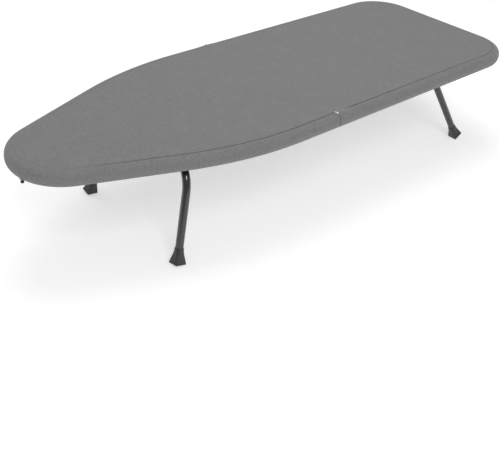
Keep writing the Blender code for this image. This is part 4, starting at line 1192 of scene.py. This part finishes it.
def leg_lines(prefix, half):
    """The right leg's path in its leaning plane: a straight cross tube, a bend of 81 degrees, a straight run.

    Returns the path, the run's direction, the direction square to the plane, and the sole's middle.
    """
    x, pivot_z = leg_pivot(prefix)
    pivot = np.array([x, 0, pivot_z])
    lean = LEG_LEAN[prefix]
    down = np.array([half * np.sin(lean), 0, -np.cos(lean)])
    across = np.array([np.cos(lean), 0, half * np.sin(lean)])
    out = np.array([0, 1.0, 0])
    turn = np.pi / 2 - LEG_SPLAY
    reach, depth = LEG_BEND_RADIUS * np.sin(turn), LEG_BEND_RADIUS * (1 - np.cos(turn))
    straight = FOOT_SPREAD - reach - (pivot_z / np.cos(lean) - depth) * np.tan(LEG_SPLAY)
    run = down * np.cos(LEG_SPLAY) + out * np.sin(LEG_SPLAY)
    slope = np.cross(run, across)
    rise = FOOT_HALF * (abs(across[2]) + abs(slope[2])) - FOOT_LAND_DEPTH
    t = np.linspace(0, turn, 22)[:, None]
    bend = pivot + out * (straight + LEG_BEND_RADIUS * np.sin(t)) + down * LEG_BEND_RADIUS * (1 - np.cos(t))
    sole = bend[-1] + run * ((bend[-1][2] - rise) / -run[2])
    shin = bend[-1] + (sole - run * FOOT_BASE - bend[-1]) * np.linspace(0, 1, 9)[1:, None]
    cross = pivot + out * straight * np.linspace(0, 1, 7)[:-1, None]
    return np.concatenate([cross, bend, shin]), run, across, slope, sole


def make_foot(name, node, sole, run, across, slope, body):
    """A cap round the tube. Its half width is neck + (sole - neck) (1 - s)^2.4 at share s of its length.

    Its corners go from nearly sharp at the sole to round, and it is cut level with the floor.
    """
    share = np.array([0, 0.02, 0.05, 0.1, 0.16, 0.23, 0.31, 0.4, 0.5, 0.6, 0.7, 0.8, 0.9, 0.97, 1])
    rise = share * FOOT_LENGTH
    half = FOOT_NECK + (FOOT_HALF - FOOT_NECK) * (1 - share) ** 2.4
    half[0] -= 0.4 * MM
    half[-1] -= 0.2 * MM
    corner = half * (0.1 + 0.8 * smoothstep(share, 0.2, 0.95))
    bore = LEG_RADIUS + 0.1 * MM
    heights = np.concatenate([rise, [FOOT_LENGTH, FOOT_BASE - 0.2 * MM]])
    halves = np.concatenate([half, [bore, bore]])
    corners = np.concatenate([corner, [bore * 0.985, bore * 0.985]])
    centres = np.column_stack([np.zeros_like(heights), np.zeros_like(heights), heights])
    flat = rounded_rectangles(centres, halves, halves, corners, 6)
    points = sole + flat[..., :1] * across + flat[..., 1:2] * slope - flat[..., 2:] * run
    points[..., 2] = np.maximum(points[..., 2], 0)
    foot = skin(name, points, black_plastic, body, smooth=25)
    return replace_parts(foot, node)


for prefix, half in (("nose", -1), ("tail", 1)):
    path, run, across, slope, sole = leg_lines(prefix, half)
    mirror = np.array([1, -1, 1])
    whole = np.concatenate([path[:0:-1] * mirror, path])
    body = prefix + "_leg"
    tube = pipe(prefix + "_leg_tube", whole, across, LEG_RADIUS, LEG_WALL, 28, gloss_paint, body)
    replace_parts(tube, prefix + "_leg")
    make_foot(prefix + "_foot_cap_right", prefix + "_foot_right", sole, run, across, slope, body)
    make_foot(prefix + "_foot_cap_left", prefix + "_foot_left", sole * mirror, run * mirror, across * mirror,
              slope * mirror, body)
    node = prefix + "_stop_pin"
    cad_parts[node].data.materials.clear()
    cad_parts[node].data.materials.append(zinc)


# Hanging hook. Chromed 3 mm wire on a rivet in a strap between the tail rails. It swivels out past the tail
# to hang the folded board up, and wears a black cap on its tip.

HOOK_EYE_RADIUS = 4 * MM
HOOK_SETBACK = 40 * MM
HOOK_STEM_REACH = 34.7 * MM
HOOK_LOOP_RADIUS = 21.5 * MM
HOOK_LOOP_CENTRE = 64.9 * MM
HOOK_NECK_EASE = 5 * MM
HOOK_LOOP_END = np.radians(66)
HOOK_CAP_TURN = np.radians(30)
HOOK_CAP_RADIUS = 2.9 * MM

hook_low, hook_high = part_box("hook_wire")
wire_radius = (hook_high.z - hook_low.z) / 2
hook_z = (hook_low.z + hook_high.z) / 2
hook_x = half_length - HOOK_SETBACK


def turn_in(values):
    """Points (reach, side) turned into places: reach runs along +Y and side along +X under the tail."""
    values = np.asarray(values)
    return np.column_stack([hook_x + values[:, 1], values[:, 0], np.full(len(values), hook_z)])


def hook_lines():
    """An eye round the rivet, a stem, a neck eased by a quadratic curve, and a round loop to its open end."""
    eye = arc_points((0, 0), HOOK_EYE_RADIUS, 350, 90, 40)
    stem_end = np.array([HOOK_SETBACK + HOOK_STEM_REACH, HOOK_EYE_RADIUS / 2])
    centre = np.array([HOOK_SETBACK + HOOK_LOOP_CENTRE, HOOK_EYE_RADIUS / 2])
    back = stem_end - centre
    start = np.arctan2(back[1], back[0]) - np.arccos(HOOK_LOOP_RADIUS / np.linalg.norm(back))
    loop = arc_points(centre, HOOK_LOOP_RADIUS, np.degrees(start), -np.degrees(HOOK_LOOP_END), 60)
    first = stem_end + (eye[-1] - stem_end) / np.linalg.norm(eye[-1] - stem_end) * HOOK_NECK_EASE
    last = stem_end + (loop[0] - stem_end) / np.linalg.norm(loop[0] - stem_end) * HOOK_NECK_EASE
    t = np.linspace(0, 1, 12)[:, None]
    neck = first * (1 - t) ** 2 + stem_end * 2 * t * (1 - t) + last * t * t
    stem = eye[-1] + (first - eye[-1]) * np.linspace(0, 1, 14)[1:-1, None]
    return np.concatenate([eye, stem, neck, loop]), centre


hook_path, hook_centre = hook_lines()
hook_rings = circles(turn_in(hook_path), (0, 0, 1), wire_radius, 20)
hook = skin("hook_chrome_wire", hook_rings, chrome, "hook", smooth=60)
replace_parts(hook, "hook_wire")
cap_start = np.degrees(HOOK_CAP_TURN - HOOK_LOOP_END)
tip_angle = -np.degrees(HOOK_LOOP_END)
cap_line = arc_points(hook_centre, HOOK_LOOP_RADIUS, cap_start, tip_angle - 3, 16)
cap_radius = np.full(16, HOOK_CAP_RADIUS)
cap_radius[[0, -2]] -= 0.35 * MM
cap_radius[-1] -= 1.3 * MM
cap_outside = circles(turn_in(cap_line), (0, 0, 1), cap_radius, 20)
bore_line = arc_points(hook_centre, HOOK_LOOP_RADIUS, cap_start, tip_angle - 0.6, 8)
cap_inside = circles(turn_in(bore_line), (0, 0, 1), wire_radius + 0.12 * MM, 20)
cap_rings = np.concatenate([cap_outside[::-1], cap_inside])
cap = skin("hook_cap", cap_rings, black_plastic, "hook", smooth=45)
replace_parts(cap, "hook_tip_cap")
low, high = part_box("hook_strap")
strap = block("hook_plate", low, high, 0.3 * MM, black_coat, "tail_half")
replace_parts(strap, "hook_strap")
domed_rivet("hook_rivet", "hook_swivel_rivet", *RIVET_HEAD)
domed_rivet("hook_strap_rivet_left", "hook_plate_rivet_left", *RIVET_HEAD)
domed_rivet("hook_strap_rivet_right", "hook_plate_rivet_right", *RIVET_HEAD)
